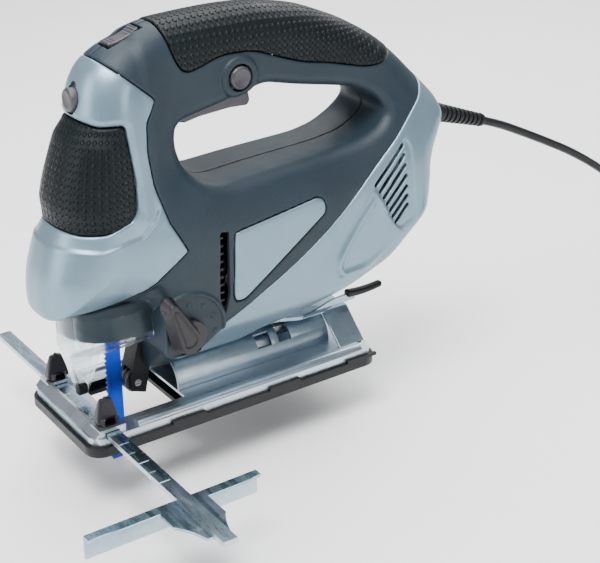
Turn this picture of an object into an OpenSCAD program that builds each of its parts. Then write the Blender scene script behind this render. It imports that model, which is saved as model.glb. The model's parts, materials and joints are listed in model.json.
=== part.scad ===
// Corded jigsaw with tilting base, parallel guide and mains lead.
// Frame: origin at the middle of the sole's underside, -X is the cutting direction,
// +Z is up, -Y is the side that carries the orbit knob. Millimetres throughout.

/* [Base] */
// Length of the plastic shoe under the base
shoe_l = 180; // [178:1:184]
// Width of the plastic shoe
shoe_w = 75; // [74:1:78]
// Height of the steel plate's underside above the sole
plate_z = 8; // [7.8:0.1:8.2]
// Sheet thickness of the steel plate
plate_t = 1.5; // [1.2:0.1:1.6]
// Height of the tilt axis above the sole
tilt_z = 10.5; // [10:0.1:11]
// Outside radius of the half-round saddle
saddle_r = 16; // [15.5:0.1:16]

/* [Housing] */
// Half width of the motor housing
body_hw = 33; // [32:0.5:34]
// Half width of the handle
handle_hw = 17.5; // [16.5:0.5:18]
// Half width of the front column
column_hw = 28; // [27:0.5:28.5]

/* [Drive] */
// Height of the motor's axis above the sole
motor_z = 80; // [79.8:0.1:80.2]
// Gear module
gear_m = 0.75; // [0.75:0.01:0.76]
// Teeth on the pinion
pinion_teeth = 10; // [10:1:10]
// Teeth on the drive gear
gear_teeth = 60; // [60:1:60]
// Stroke of the plunger
stroke = 18; // [16:1:18]
// Distance of the blade's mid line ahead of the sole's centre
blade_x = -57.5; // [-58:0.1:-57]
// Diameter of the plunger rod
plunger_d = 8; // [8:0.1:8.2]
// Radial running clearance of turning and sliding fits
fit = 0.05; // [0.02:0.01:0.08]

/* [Guide] */
// Distance of the guide rod ahead of the sole's centre
rod_x = -77; // [-77.2:0.1:-76.8]
// Width of the guide rod
rod_w = 7.4; // [7:0.1:7.6]
// Length of the guide fence
fence_l = 92; // [80:1:96]

/* [Cord] */
// Diameter of the mains cord
cord_d = 5; // [4.6:0.1:5]
// Mean radius of the stored coil
coil_r = 29; // [28:0.5:30]

/* [Hidden] */
$fn = 48;
eps = 0.01;
centre_d = gear_m * (pinion_teeth + gear_teeth) / 2;
gear_z = motor_z + centre_d;
crank_r = stroke / 2;
pin_z = gear_z - crank_r;
plate_top = plate_z + plate_t;
floor_z = -30;
saddle_front = -28;
saddle_rear = 71;
clamp_x = 42;
knob_x = -31;
knob_z = 52;
fork_x = -40;
fork_z = 46;
roller_x = -46.3;
roller_z = 16;
snout_r = 21.5;
guard_x = -62;
clamp_top = 60;
lower_bush_z = 79.5;
upper_bush_z = 130.5;
cheek_y = 25.1;
relief_start = [138, 0, 131.2];
coil_c = [318, -66];
coil_w = 3 * cord_d;
coil_h = 4 * cord_d;
plug_x = 352;

// Outer silhouette seen from the side, as X and Z, from the collar's lower front edge upwards
side_outline = [
    [-97, 66], [-98, 80], [-96, 93], [-91, 106], [-87, 122], [-84, 135], [-79, 149], [-74, 161],
    [-71, 176], [-66, 187], [-58, 195], [-43, 201], [-30, 205], [-10, 205.5], [10, 207], [30, 206.5],
    [59, 201], [82, 192], [103, 181], [120, 168], [137, 150], [143, 143], [146, 133], [141, 123],
    [134, 112], [134.5, 96], [133, 80], [128, 73], [104, 57], [76, 44], [58, 38], [38, 33], [24, 31.5],
    [14, 25], [-28, 25], [-31, 23], [-43, 24], [-44, 52], [-86, 53], [-90, 64]
];
// Opening for the hand, seen from the side
hand_outline = [
    [-20, 134], [-23, 146], [-22, 154], [-18, 157], [20, 165], [30, 168], [49, 163], [85, 156],
    [98, 149], [104, 141], [98, 134], [86, 128.5], [68, 126], [26, 124], [0, 122], [-12, 125]
];
// Joint line between the grey housing and the silver rear cover, rear top to lower front
seam = [[150, 154], [132, 149], [120, 132], [102, 113], [84, 98], [64, 83], [42, 69.5], [10, 52], [-24, 38]];
// Rear edge of the silver front cover, top to bottom
cover_edge = [
    [-70, 207], [-62, 196], [-36, 172], [-42, 162], [-43, 149], [-41, 131], [-36, 112], [-28, 96], [-34, 92],
    [-46, 83], [-62, 73], [-82, 66.5]
];
// Rubber pad on the front column, seen from the side
front_pad = [
    [-100, 160], [-77, 164], [-66, 162], [-53, 161], [-51, 150], [-50, 127], [-52, 119], [-61, 114], [-75, 111.5],
    [-100, 109]
];
// Lower wavy edge of the rubber on the handle, front to rear
handle_pad = [
    [-27, 215], [-26, 196], [-22, 185], [-17, 180], [3, 187], [21, 187], [33, 182], [51, 176], [68, 173],
    [92, 167], [103, 167], [112, 171], [122, 178], [120, 215]
];
panel_outline = [[0, 97.5], [50, 107], [56, 103], [55, 96], [41, 84], [3, 61.5], [-2, 63], [-1.5, 95]];
screw_places = [[-32, 176], [56, 168.5], [120, 150], [96, 118], [66, 47], [8, 42], [-24, 60], [26, 115.5]];

// Cord route from the strain relief to the coil
cord_route = [
    [194.3, 0, 112.9], [210, 0, 107], [230, 0, 98], [250, 0, 88.5], [270, 0, 78.5], [290, 0, 67], [308, 0, 55],
    [324, -1, 41], [337, -4, 26], [347, -9, 9], [353, -17, -7], [356, -29, -20], [356, -43, -26.5],
    [354, -58, -27.5]
];
// Tail of the cord from the top of the coil to the plug
tail_route = [[352, -68, -12.5], [352, -74, -13], [352, -80, -14.7], [352, -86, -16.4], [352, -92, -17]];

// ---------- helpers ----------

// Cylinder along X from x0 to x1 about (y, z)
module rod_along_x(x0, x1, r, y = 0, z = 0) {
    translate([x0, y, z]) rotate([0, 90, 0]) cylinder(h = x1 - x0, r = r);
}

// Cylinder along Y from y0 to y1 about (x, z)
module rod_along_y(y0, y1, r, x = 0, z = 0) {
    translate([x, y0, z]) rotate([-90, 0, 0]) cylinder(h = y1 - y0, r = r);
}

// Side outline pulled out from y0 to y1
module side_slab(points, y0, y1) {
    translate([0, y1, 0]) rotate([90, 0, 0]) linear_extrude(y1 - y0) polygon(points);
}

// Box given by its two corners
module block(low, high) {
    translate(low) cube(high - low);
}

// Ring along X
module ring_along_x(x0, x1, r_out, r_in, z) {
    difference() {
        rod_along_x(x0, x1, r_out, 0, z);
        rod_along_x(x0 - 1, x1 + 1, r_in, 0, z);
    }
}

// Points of one tooth, as radius and angle: flanks lean towards the tip
function tooth(k, count, r_root, r_tip, root_w, tip_w, turn) = let (a = turn + k * 360 / count) [
    [r_root, a - root_w], [r_tip, a - tip_w], [r_tip, a + tip_w], [r_root, a + root_w]
];
function gear_outline(count, r_pitch, addendum, dedendum, root_w, tip_w, turn) = [
    for (k = [0 : count - 1])
        for (p = tooth(k, count, r_pitch - dedendum, r_pitch + addendum, root_w, tip_w, turn))
            [p[0] * cos(p[1]), p[0] * sin(p[1])]
];

// Unit direction of a route at point i
function heading(p, i) = let (
    a = p[max(i - 1, 0)],
    b = p[min(i + 1, len(p) - 1)]
) (b - a) / norm(b - a);
// Ring of points about route point i, square to the route
function route_ring(p, i, r, sides) = let (
    d = heading(p, i),
    u = cross(d, [0, 1, 0.13]) / norm(cross(d, [0, 1, 0.13])),
    v = cross(d, u)
) [for (k = [0 : sides - 1]) p[i] + r * (cos(360 * k / sides) * u + sin(360 * k / sides) * v)];
function flatten(list) = [for (a = list) for (b = a) b];

// Round tube swept along a route, closed at both ends
module swept_tube(p, r, sides) {
    n = len(p);
    points = flatten([for (i = [0 : n - 1]) route_ring(p, i, r, sides)]);
    skin = [
        for (i = [0 : n - 2])
            for (k = [0 : sides - 1])
                [i * sides + k, i * sides + (k + 1) % sides, (i + 1) * sides + (k + 1) % sides, (i + 1) * sides + k]
    ];
    first = [for (k = [sides - 1 : -1 : 0]) k];
    last = [for (k = [0 : sides - 1]) (n - 1) * sides + k];
    polyhedron(points, concat([first, last], skin));
}

// Catmull-Rom point between b and c
function smooth_point(a, b, c, d, t) =
    0.5 * (2 * b + (c - a) * t + (2 * a - 5 * b + 4 * c - d) * t * t + (3 * b - 3 * c + d - a) * t * t * t);
function smooth_route(p, steps) = concat([
    for (i = [0 : len(p) - 2])
        for (s = [0 : steps - 1])
            smooth_point(p[max(i - 1, 0)], p[i], p[i + 1], p[min(i + 2, len(p) - 1)], s / steps)
], [p[len(p) - 1]]);

// Points of a helix about a straight axis along +Z
function helix(r, pitch, turns, per_turn) = [
    for (i = [0 : turns * per_turn])
        [r * cos(360 * i / per_turn), r * sin(360 * i / per_turn), pitch * i / per_turn]
];

// Coil spring along +Z with a wire radius of wire_r
module coil_spring(r, length, turns, wire_r) {
    translate([0, 0, wire_r]) swept_tube(helix(r, (length - 2 * wire_r) / turns, turns, 12), wire_r, 6);
}

// ---------- outer envelope ----------

// Half width of the lower body against height, as a closed front view
body_front = [
    [-12, 22], [-14, 28], [-22, 36], [-30, 46], [-body_hw, 58], [-body_hw, 100], [-31, 112], [-25, 122],
    [-19, 131], [-18, 150], [18, 150], [19, 131], [25, 122], [31, 112], [body_hw, 100], [body_hw, 58],
    [30, 46], [22, 36], [14, 28], [12, 22]
];
handle_front = [
    [-handle_hw, 120], [-handle_hw, 190], [-14, 199], [-8, 205], [0, 207.5], [8, 205], [14, 199],
    [handle_hw, 190], [handle_hw, 120]
];
handle_core_front = [
    [-15.1, 120], [-15.1, 189], [-12, 197], [-7, 202.5], [0, 204.9], [7, 202.5], [12, 197], [15.1, 189], [15.1, 120]
];
column_front = [
    [-31.5, 50], [-31.5, 100], [-29, 112], [-column_hw, 124], [-26.5, 150], [-24, 172], [-19, 190], [-12, 201],
    [0, 206], [12, 201], [19, 190], [24, 172], [26.5, 150], [column_hw, 124], [29, 112], [31.5, 100], [31.5, 50]
];
// Front view pulled along X from x0 to x1
module front_slab(points, x0, x1) {
    translate([x0, 0, 0]) rotate([90, 0, 90]) linear_extrude(x1 - x0) polygon(points);
}
// Plan of the whole housing: round nose, slightly waisted rear with rounded corners
module plan_outline() {
    nose_r = 33;
    translate([-98 + nose_r, 0]) circle(r = nose_r);
    polygon([
        [-98 + nose_r, -nose_r], [100, -33], [122, -29], [132, -22], [146, -12], [146, 12], [132, 22], [122, 29],
        [100, 33], [-98 + nose_r, nose_r]
    ]);
}
module plan_prism(z0, z1) {
    translate([0, 0, z0]) linear_extrude(z1 - z0) plan_outline();
}
// Whole outer body without the hand opening
module envelope() {
    intersection() {
        side_slab(side_outline, -40, 40);
        plan_prism(0, 220);
        union() {
            front_slab(body_front, -45, 150);
            front_slab(handle_front, -45, 150);
            front_slab(column_front, -100, -24);
        }
    }
}
// Snout round the plunger below the collar is slimmer than the collar
module snout_trim() {
    difference() {
        block([-110, -40, 50], [-43, 40, 66]);
        translate([guard_x, 0, 40]) cylinder(h = 40, r = snout_r);
        block([guard_x, -snout_r, 40], [-20, snout_r, 80]);
    }
}
module hand_opening() {
    side_slab(hand_outline, -60, 60);
}
// Everything behind the seam, for the rear cover
module rear_region(y0, y1) {
    side_slab(concat(seam, [[-24, 10], [170, 10], [170, 154]]), y0, y1);
}
module front_region(y0, y1) {
    side_slab(concat(cover_edge, [[-110, 60], [-110, 207]]), y0, y1);
}
// Raised and sunken places where the rubber and the panels lie
module pad_region(y0, y1) {
    side_slab(handle_pad, y0, y1);
}
// Room inside the shells for the drive, the switch and the leads
module drive_room() {
    rod_along_x(-14, 77, 28, 0, motor_z);
    rod_along_x(76, 87, 9.5, 0, motor_z);
    block([-66.5, -cheek_y - 0.2, 64], [-27.9, cheek_y + 0.2, 139]);
    block([-28, -16, 66], [-13.9, 16, 120]);
    block([-66, -8, 138], [-49, 8, 166]);
    block([-66, -11.5, 40], [-38, 11.5, 80]);
    block([88, -14, 66], [124, 14, 110]);
    block([100, -9, 109], [114, 9, 140]);
    block([-67, -9, 164], [-62, 9, 182]);
}
module handle_room() {
    side_slab(
        [[-12, 168], [-10, 186], [40, 190], [84, 176], [84, 170], [40, 180], [38, 171.5], [20, 168]], -11, 11
    );
    side_slab([[-19, 150], [-19, 169], [27, 169], [27, 150]], -10.6, 10.6);
    rod_along_y(-11.6, 11.6, 3 + fit, -16, 161);
}
module roller_room() {
    block([-60, -8, 20], [-34, 8, 62]);
    rod_along_y(-11.5, 11.5, 2.4 + fit, fork_x, fork_z);
}
// Bore and recess for the orbit knob's shaft, bores for the lock button
module left_bores() {
    rod_along_y(-50, 7.5, 4 + fit, knob_x, knob_z);
    rod_along_y(-50, 0, 6.5, 13, 174);
}

// Screw towers and screw bores, entered from the right side
module screw_bores(r_hole, y0, y1) {
    for (p = screw_places) rod_along_y(y0, y1, r_hole, p[0], p[1]);
}

// ---------- shells ----------

module shell_cuts() {
    hand_opening();
    drive_room();
    handle_room();
    roller_room();
    snout_trim();
    // seat that rides on the base's saddle, and the clamp screw's bore
    rod_along_x(saddle_front - 0.4, saddle_rear, saddle_r + 0.35, 0, tilt_z);
    translate([clamp_x, 0, 20]) cylinder(h = 26, r = 2.6);
    rod_along_x(-90, -62, 6.3, 0, 173);
    // pocket below the rocker switch
    translate([-42, 0, 198]) rotate([0, -20, 0]) {
        block([-9.4, -5, -12], [9.4, 5, 12]);
        rod_along_y(-6.8, 6.8, 1.2 + fit, 0, -2);
    }
    // seat of the strain relief
    translate(relief_start) rotate([0, 108, 0]) translate([0, 0, -0.1]) cylinder(h = 40, r = 5.9);
}

// Plastic of the handle under the rubber
module handle_core() {
    intersection() {
        translate([0, 0, -2.4]) side_slab(side_outline, -40, 40);
        front_slab(handle_core_front, -30, 125);
    }
}
module housing_half(y0, y1) {
    difference() {
        intersection() {
            envelope();
            block([-100, y0, 10], [150, y1, 220]);
        }
        front_region(-60, 60);
        rear_region(-60, 60);
        difference() {
            pad_region(-60, 60);
            handle_core();
        }
        shell_cuts();
        left_bores();
        screw_bores(1.5, -22, 60);
        screw_bores(3.2, 15, 60);
        // outlet slots in front of the fan
        block([-12, -60, 52], [-7, -27.5, 95]);
        block([-12, 27.5, 52], [-7, 60, 95]);
        // shallow seats of the side panels
        side_slab(panel_outline, -60, -body_hw + 1.2);
        side_slab(panel_outline, body_hw - 1.2, 60);
    }
}
module housing_left() {
    color([0.27, 0.31, 0.34]) housing_half(-60, 0);
}
module housing_right() {
    color([0.27, 0.31, 0.34]) housing_half(0, 60);
}

// Silver front cover: the skin of the front column with the pad cut out of it
module front_cover() {
    color([0.66, 0.72, 0.77]) difference() {
        intersection() {
            envelope();
            front_region(-60, 60);
        }
        side_slab(front_pad, -60, 60);
        shell_cuts();
        block([-100, -40, 40], [-30, 40, 66]);
    }
}
// Rubber pad round the front column
module front_grip() {
    color([0.10, 0.12, 0.12]) difference() {
        intersection() {
            envelope();
            side_slab(front_pad, -60, 60);
        }
        shell_cuts();
    }
}
// Rubber on the handle
module handle_grip() {
    color([0.10, 0.12, 0.12]) difference() {
        intersection() {
            envelope();
            pad_region(-60, 60);
        }
        hand_opening();
        handle_core();
    }
}

module rear_half(y0, y1) {
    difference() {
        intersection() {
            envelope();
            rear_region(-60, 60);
            block([-100, y0, 10], [150, y1, 220]);
        }
        shell_cuts();
        screw_bores(1.5, -22, 60);
        screw_bores(3.2, 15, 60);
        intersection() {
            rear_region(-60, 60);
            union() {
                block([40, -26, 64], [76.5, 26, 106]);
                block([88, -26, 66], [124, 26, 106]);
            }
        }
        // inlet slots, slanted, shorter towards the bottom
        for (k = [0 : 6])
            translate([99 + 3.4 * k, 0, 114 - 5.2 * k]) rotate([0, -52, 0])
                block([-13 + 1.3 * k, -60, -0.9], [13 - 1.3 * k, 60, 0.9]);
    }
}
module rear_cover_left() {
    color([0.62, 0.69, 0.74]) rear_half(-60, 0);
}
module rear_cover_right() {
    color([0.62, 0.69, 0.74]) rear_half(0, 60);
}
module side_panel_left() {
    color([0.66, 0.72, 0.77]) side_slab(panel_outline, -body_hw, -body_hw + 1.2);
}
module side_panel_right() {
    color([0.66, 0.72, 0.77]) side_slab(panel_outline, body_hw - 1.2, body_hw);
}
module housing_screws() {
    color([0.3, 0.3, 0.32]) for (p = screw_places) {
        rod_along_y(-20, 15, 1.45, p[0], p[1]);
        difference() {
            rod_along_y(15, 17, 3, p[0], p[1]);
            translate([p[0], 16.6, p[1]]) rotate([90, 0, 0]) cube([0.8, 4, 1.6], center = true);
            translate([p[0], 16.6, p[1]]) rotate([90, 0, 0]) cube([4, 0.8, 1.6], center = true);
        }
    }
}

// ---------- controls ----------

module trigger() {
    color([0.33, 0.26, 0.29]) difference() {
        union() {
            side_slab([[-18, 156], [-17, 160], [-13, 164], [2, 167], [22, 167], [24, 159], [22, 157.5]], -10, 10);
            rod_along_y(-11.5, 11.5, 3, -16, 161);
        }
        // hollow for the return spring
        translate([14, 0, 160]) cylinder(h = 10, r = 4);
        // shoulder that passes under the lock-on button when the trigger is pulled
        block([5, -10.5, 163.6], [23, -6.6, 168]);
    }
}
module trigger_spring() {
    color([0.7, 0.7, 0.72]) translate([14, 0, 160]) coil_spring(2.6, 12, 5, 0.5);
}
module switch_module() {
    color([0.12, 0.12, 0.13]) difference() {
        union() {
            block([-6, -8, 172.2], [37, 8, 185]);
            block([10, -8, 172], [18, 8, 172.4]);
        }
        rod_along_y(-8.5, -2, 6.4, 13, 174);
    }
}
module lock_on_button() {
    color([0.42, 0.36, 0.39]) {
        rod_along_y(-19.5, -10.3, 6.2, 13, 174);
        rod_along_y(-10.4, -8, 3, 13, 174);
        rod_along_y(-20.2, -19.5, 5.2, 13, 174);
    }
}
module lock_spring() {
    color([0.7, 0.7, 0.72]) translate([13, -7.9, 174]) rotate([-90, 0, 0]) coil_spring(2.4, 5.4, 3, 0.4);
}
module front_button() {
    color([0.42, 0.36, 0.39]) {
        rod_along_x(-74, -64.8, 6, 0, 173);
        rod_along_x(-75, -74, 5, 0, 173);
        rod_along_x(-66.8, -64.8, 8, 0, 173);
    }
}
module rocker_switch() {
    color([0.42, 0.36, 0.39]) translate([-42, 0, 198]) rotate([0, -20, 0]) {
        rotate([90, 0, 0]) translate([0, 0, -4.6])
            linear_extrude(9.2) polygon([[-8.2, 4.4], [0, 2.8], [8.2, 4.4], [7.4, -3], [0, -6], [-7.4, -3]]);
        rod_along_y(-6.6, 6.6, 1.2, 0, -2);
    }
}
// Knob with a tapering lever; its tip points up and forward at rest
module orbit_knob() {
    color([0.25, 0.2, 0.22]) translate([knob_x, 0, knob_z]) rotate([90, 0, 0]) {
        translate([0, 0, body_hw + 0.3]) cylinder(h = 3.7, r = 9);
        hull() {
            translate([0, 0, body_hw + 2]) cylinder(h = 10, r = 9, $fn = 32);
            translate([-13, 20, body_hw + 2]) cylinder(h = 8, r = 6, $fn = 32);
        }
    }
}
module orbit_cam() {
    color([0.7, 0.7, 0.72]) difference() {
        union() {
            rod_along_y(-body_hw - 0.3, -7.2, 4, knob_x, knob_z);
            rod_along_y(-7.2, 7.2, 3.6, knob_x, knob_z);
        }
        block([knob_x - 5, -6.6, knob_z - 1], [knob_x - 2, 6.6, knob_z + 1]);
    }
}

// ---------- drive ----------

module plunger() {
    color([0.75, 0.76, 0.78]) {
        translate([blade_x, 0, clamp_top]) cylinder(h = pin_z - 8.5 - clamp_top, r = plunger_d / 2);
        translate([blade_x, 0, pin_z + 8.5]) cylinder(h = 40, r = plunger_d / 2);
        // yoke with the slot that the crank pin works in
        difference() {
            block([blade_x - 3, -18, pin_z - 8.6], [blade_x + 3.5, 18, pin_z + 8.6]);
            block([blade_x - 4, -14, pin_z - 4.3], [blade_x + 4, 14, pin_z + 4.3]);
        }
    }
}
module plunger_bushes() {
    color([0.72, 0.55, 0.3]) for (z = [lower_bush_z, upper_bush_z])
        translate([blade_x, 0, z]) difference() {
            cylinder(h = 7, r = 6.5);
            translate([0, 0, -1]) cylinder(h = 9, r = plunger_d / 2 + fit);
        }
}
module gear_case() {
    color([0.72, 0.73, 0.75]) difference() {
        union() {
            block([-31, -cheek_y, 65], [-28, cheek_y, upper_bush_z + 7]);
            block([-66, -cheek_y, lower_bush_z], [-49, cheek_y, lower_bush_z + 7]);
            block([-66, -cheek_y, upper_bush_z], [-28, cheek_y, upper_bush_z + 7]);
            for (s = [-1, 1])
                translate([-66, s > 0 ? 23.6 : -cheek_y, lower_bush_z])
                    cube([38, cheek_y - 23.6, upper_bush_z + 7 - lower_bush_z]);
            rod_along_x(-28.1, -20, 11, 0, gear_z);
        }
        for (z = [lower_bush_z, upper_bush_z]) translate([blade_x, 0, z - 1]) cylinder(h = 9, r = 6.5);
        rod_along_x(-40, -10, 8, 0, gear_z);
        rod_along_x(-40, -10, 9.5, 0, motor_z);
    }
}
module drive_gear() {
    gear_r = gear_m * gear_teeth / 2;
    color([0.6, 0.6, 0.63]) difference() {
        union() {
            // a gap between two teeth faces the pinion below
            translate([-44, 0, gear_z]) rotate([0, 90, 0]) linear_extrude(9)
                polygon(gear_outline(gear_teeth, gear_r, 0.6, 0.9, 1.75, 0.75, 3));
            rod_along_x(-53, -44, 3.9, 0, pin_z);
        }
        rod_along_x(-45, -34, 4, 0, gear_z);
    }
}
module gear_shaft() {
    color([0.7, 0.7, 0.72]) rod_along_x(-44, -20, 4, 0, gear_z);
}
module gear_bearing() {
    color([0.62, 0.64, 0.66]) ring_along_x(-30, -20, 8, 4 + fit, gear_z);
}
module pinion() {
    pinion_r = gear_m * pinion_teeth / 2;
    color([0.6, 0.6, 0.63]) translate([-45, 0, motor_z]) rotate([0, 90, 0]) linear_extrude(11)
        polygon(gear_outline(pinion_teeth, pinion_r, 0.6, 0.9, 9.5, 3.6, 0));
}
module armature_shaft() {
    color([0.7, 0.7, 0.72]) rod_along_x(-34, 86, 4, 0, motor_z);
}
// Slotted iron core
module armature_core() {
    slots = 12;
    color([0.45, 0.4, 0.36]) difference() {
        rod_along_x(18, 56, 15, 0, motor_z);
        rod_along_x(17, 57, 4, 0, motor_z);
        for (k = [0 : slots - 1])
            translate([17, 0, motor_z]) rotate([360 * k / slots, 0, 0]) translate([0, -1, 8]) cube([40, 2, 8]);
    }
}
module commutator() {
    color([0.72, 0.45, 0.3]) ring_along_x(61, 75, 11, 4, motor_z);
}
module cooling_fan() {
    vanes = 14;
    color([0.15, 0.15, 0.16]) {
        ring_along_x(-3, -1, 24, 4, motor_z);
        ring_along_x(-11, -2.9, 7, 4, motor_z);
        for (k = [0 : vanes - 1])
            translate([-11, 0, motor_z]) rotate([360 * k / vanes, 0, 0])
                translate([0, -0.6, 6.5]) cube([8.1, 1.2, 17]);
    }
}
module front_bearing() {
    color([0.62, 0.64, 0.66]) ring_along_x(-30, -22, 9.5, 4 + fit, motor_z);
}
module rear_bearing() {
    color([0.62, 0.64, 0.66]) ring_along_x(79, 86, 9.5, 4 + fit, motor_z);
}
module field_core() {
    color([0.42, 0.43, 0.45]) difference() {
        rod_along_x(16, 58, 26, 0, motor_z);
        rod_along_x(15, 59, 15.6, 0, motor_z);
    }
}
module field_coils() {
    color([0.65, 0.36, 0.2]) for (x = [11, 58])
        for (s = [-1, 1])
            intersection() {
                ring_along_x(x, x + 5, 24, 17, motor_z);
                block([x - 1, -30, motor_z + min(s * 3, s * 30)], [x + 6, 30, motor_z + max(s * 3, s * 30)]);
            }
}
module brush_holders() {
    color([0.75, 0.6, 0.3]) for (s = [-1, 1])
        difference() {
            block([64.5, min(s * 12, s * 27), motor_z - 5], [73.5, max(s * 12, s * 27), motor_z + 5]);
            block([66, min(s * 11, s * 26), motor_z - 3.5], [72, max(s * 11, s * 26), motor_z + 3.5]);
        }
}
module carbon_brushes() {
    color([0.13, 0.13, 0.14]) for (s = [-1, 1])
        block([66.1, min(s * 11.3, s * 20), motor_z - 3.4], [71.9, max(s * 11.3, s * 20), motor_z + 3.4]);
}
module brush_springs() {
    color([0.7, 0.7, 0.72]) for (s = [-1, 1])
        translate([69, s * 20.1, motor_z]) rotate([-s * 90, 0, 0]) coil_spring(2, 5.8, 4, 0.3);
}

// ---------- blade and roller ----------

module saw_blade() {
    teeth = 24;
    pitch = 2.8;
    front = blade_x - 4.5;
    color([0.1, 0.2, 0.6]) translate([0, 0.6, 0]) rotate([90, 0, 0]) linear_extrude(1.2)
        polygon(concat(
            [[blade_x + 4.5, 48], [blade_x + 4.5, -18], [blade_x + 2, -28.4]],
            [[front + 1, -28.6]],
            [
                for (k = [0 : 2 * teeth])
                    [front + (k % 2 == 0 ? 0.9 : -0.4), -28 + pitch * k / 2 + (k % 2) * 0.5]
            ],
            [[front + 0.5, 43], [front + 0.5, 48], [blade_x - 2.5, 48], [blade_x - 2.5, 59], [blade_x + 2.5, 59],
             [blade_x + 2.5, 48]]
        ));
}
module blade_clamp() {
    color([0.3, 0.31, 0.33]) difference() {
        union() {
            translate([blade_x, 0, clamp_top - 11.5]) cylinder(h = 11.5, r = 7.2);
            translate([blade_x - 3, -10.5, clamp_top - 9]) cube([6, 4, 6]);
        }
        block([blade_x - 4, -0.65, 40], [blade_x + 4, 0.65, clamp_top - 0.9]);
    }
}
module guide_roller() {
    color([0.16, 0.17, 0.18]) difference() {
        rod_along_y(-3, 3, 6.4, roller_x, roller_z);
        rod_along_y(-4, 4, 2 + fit, roller_x, roller_z);
        translate([roller_x, 0, roller_z]) rotate([90, 0, 0]) rotate_extrude()
            translate([6.6, 0]) square([1.4, 1.6], center = true);
    }
}
module roller_pin() {
    color([0.7, 0.7, 0.72]) rod_along_y(-5.6, 5.6, 2, roller_x, roller_z);
}
// Fork with two cheeks, hung from a cross pin in the gear case
module roller_fork() {
    color([0.12, 0.12, 0.13]) difference() {
        union() {
            side_slab(
                [[-50, 12], [-42, 9], [-40, 18], [-37, 38], [-36.5, 47], [-43, 49], [-45, 40], [-50.5, 20]], -5.6, 5.6
            );
            rod_along_y(-11, 11, 2.4, fork_x, fork_z);
        }
        block([-54, -3.3, 0], [-38.8, 3.3, 24]);
        rod_along_y(-8, 8, 2, roller_x, roller_z);
    }
}
// Clear guard: wraps the snout, then narrows to a column in front of the blade
module guard_body(r, side_points, front_points) {
    intersection() {
        union() {
            translate([guard_x, 0, 10]) cylinder(h = 60, r = r);
            block([guard_x, -r, 10], [-30, r, 70]);
        }
        side_slab(side_points, -40, 40);
        front_slab(front_points, -100, -20);
    }
}
module chip_guard() {
    color([0.85, 0.9, 0.93, 0.4]) difference() {
        guard_body(
            snout_r + 1.8,
            [[-86, 66], [-85.4, 52], [-78.5, 17], [-73.5, 17], [-66, 40], [guard_x, 43.5], [-46, 45.5], [-44.8, 47],
             [-44.8, 66]],
            [[-1.8, 17], [-4.8, 41], [-7.5, 44], [-20, 47.6], [-23.5, 51], [-23.5, 66], [23.5, 66], [23.5, 51],
             [20, 47.6], [7.5, 44], [4.8, 41], [1.8, 17]]
        );
        guard_body(
            snout_r + 0.3,
            [[-85, 69], [-84.4, 66], [-83.9, 52], [-77, 20], [-60, 20], [-30, 30], [-30, 69]],
            [[-0.6, 20], [-3.4, 41.4], [-6.4, 45], [-18.8, 48.8], [-21.9, 51.7], [-21.9, 69], [21.9, 69],
             [21.9, 51.7], [18.8, 48.8], [6.4, 45], [3.4, 41.4], [0.6, 20]]
        );
    }
}

// ---------- base ----------

module shoe_plan(inset, r) {
    l = shoe_l / 2 - inset;
    w = shoe_w / 2 - inset;
    for (s = [-1, 1]) {
        translate([-l + r, s * (w - r)]) circle(r = r);
        translate([l - r, s * (w - r)]) circle(r = r);
    }
    translate([-l + r, -w]) square([2 * (l - r), 2 * w]);
    translate([-l, -w + r]) square([2 * l, 2 * (w - r)]);
}
// Opening round the blade, through shoe and plate
module blade_opening(margin) {
    translate([-68 + margin, -22 + margin]) square([40 - 2 * margin, 44 - 2 * margin]);
}
// Black plastic shoe with an upturned rim and three clips a side
module base_shoe() {
    color([0.11, 0.12, 0.13]) {
        linear_extrude(2.5) difference() {
            shoe_plan(0, 9);
            blade_opening(0);
        }
        translate([0, 0, 2.49]) linear_extrude(2.5) difference() {
            shoe_plan(0, 9);
            shoe_plan(1.8, 7.5);
        }
        for (x = [-34, 26, 78])
            for (s = [-1, 1])
                block([x - 10, min(s * 35.7, s * 37.5), 4.98], [x + 10, max(s * 35.7, s * 37.5), 6.6]);
    }
}
// Pressed steel plate: a tray whose sides rise to a half-round bead
module base_plate() {
    color([0.55, 0.62, 0.67]) difference() {
        union() {
            // skirt
            translate([0, 0, 2.6]) linear_extrude(plate_top - 2.6) difference() {
                shoe_plan(2, 7.3);
                shoe_plan(3.5, 5.8);
            }
            translate([0, 0, plate_z]) linear_extrude(plate_t) shoe_plan(2, 7.3);
            for (s = [-1, 1]) rod_along_x(-62, 80, 3.4, s * 31.4, plate_z + 0.2);
            // cross wall ahead of the rod, and arms that bridge it
            side_slab([[-87, plate_top - eps], [-83, 13.4], [-81.6, 13.4], [-81.6, plate_top - eps]], -34, 34);
            for (s = [-1, 1])
                block([-84, min(s * 24, s * 34.4), plate_top - eps], [-69.5, max(s * 24, s * 34.4), 13.6]);
            // floor of the channel that the rod lies in
            block([-82, -34.5, 6.6], [-72, 34.5, 8.3]);
        }
        translate([0, 0, -1]) linear_extrude(30) blade_opening(-0.01);
        block([-100, -40, -1], [100, 40, 2.6]);
        // inside of the beads and of the tray
        for (s = [-1, 1]) rod_along_x(-61, 79, 2, s * 31.4, plate_z + 0.2);
        block([-60, -34, 0], [78, 34, plate_z]);
        // passage of the guide rod
        block([rod_x - rod_w / 2 - 0.4, -50, 8.3], [rod_x + rod_w / 2 + 0.4, 50, 11.9]);
        for (s = [-1, 1]) translate([rod_x, s * 28, 10]) cylinder(h = 20, r = 2.5 + fit);
        // screw hole and the hole beside the rear bracket
        translate([84, -26, 0]) cylinder(h = 20, r = 1.6);
        translate([84, 26, 0]) cylinder(h = 20, r = 1.6);
    }
}
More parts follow.
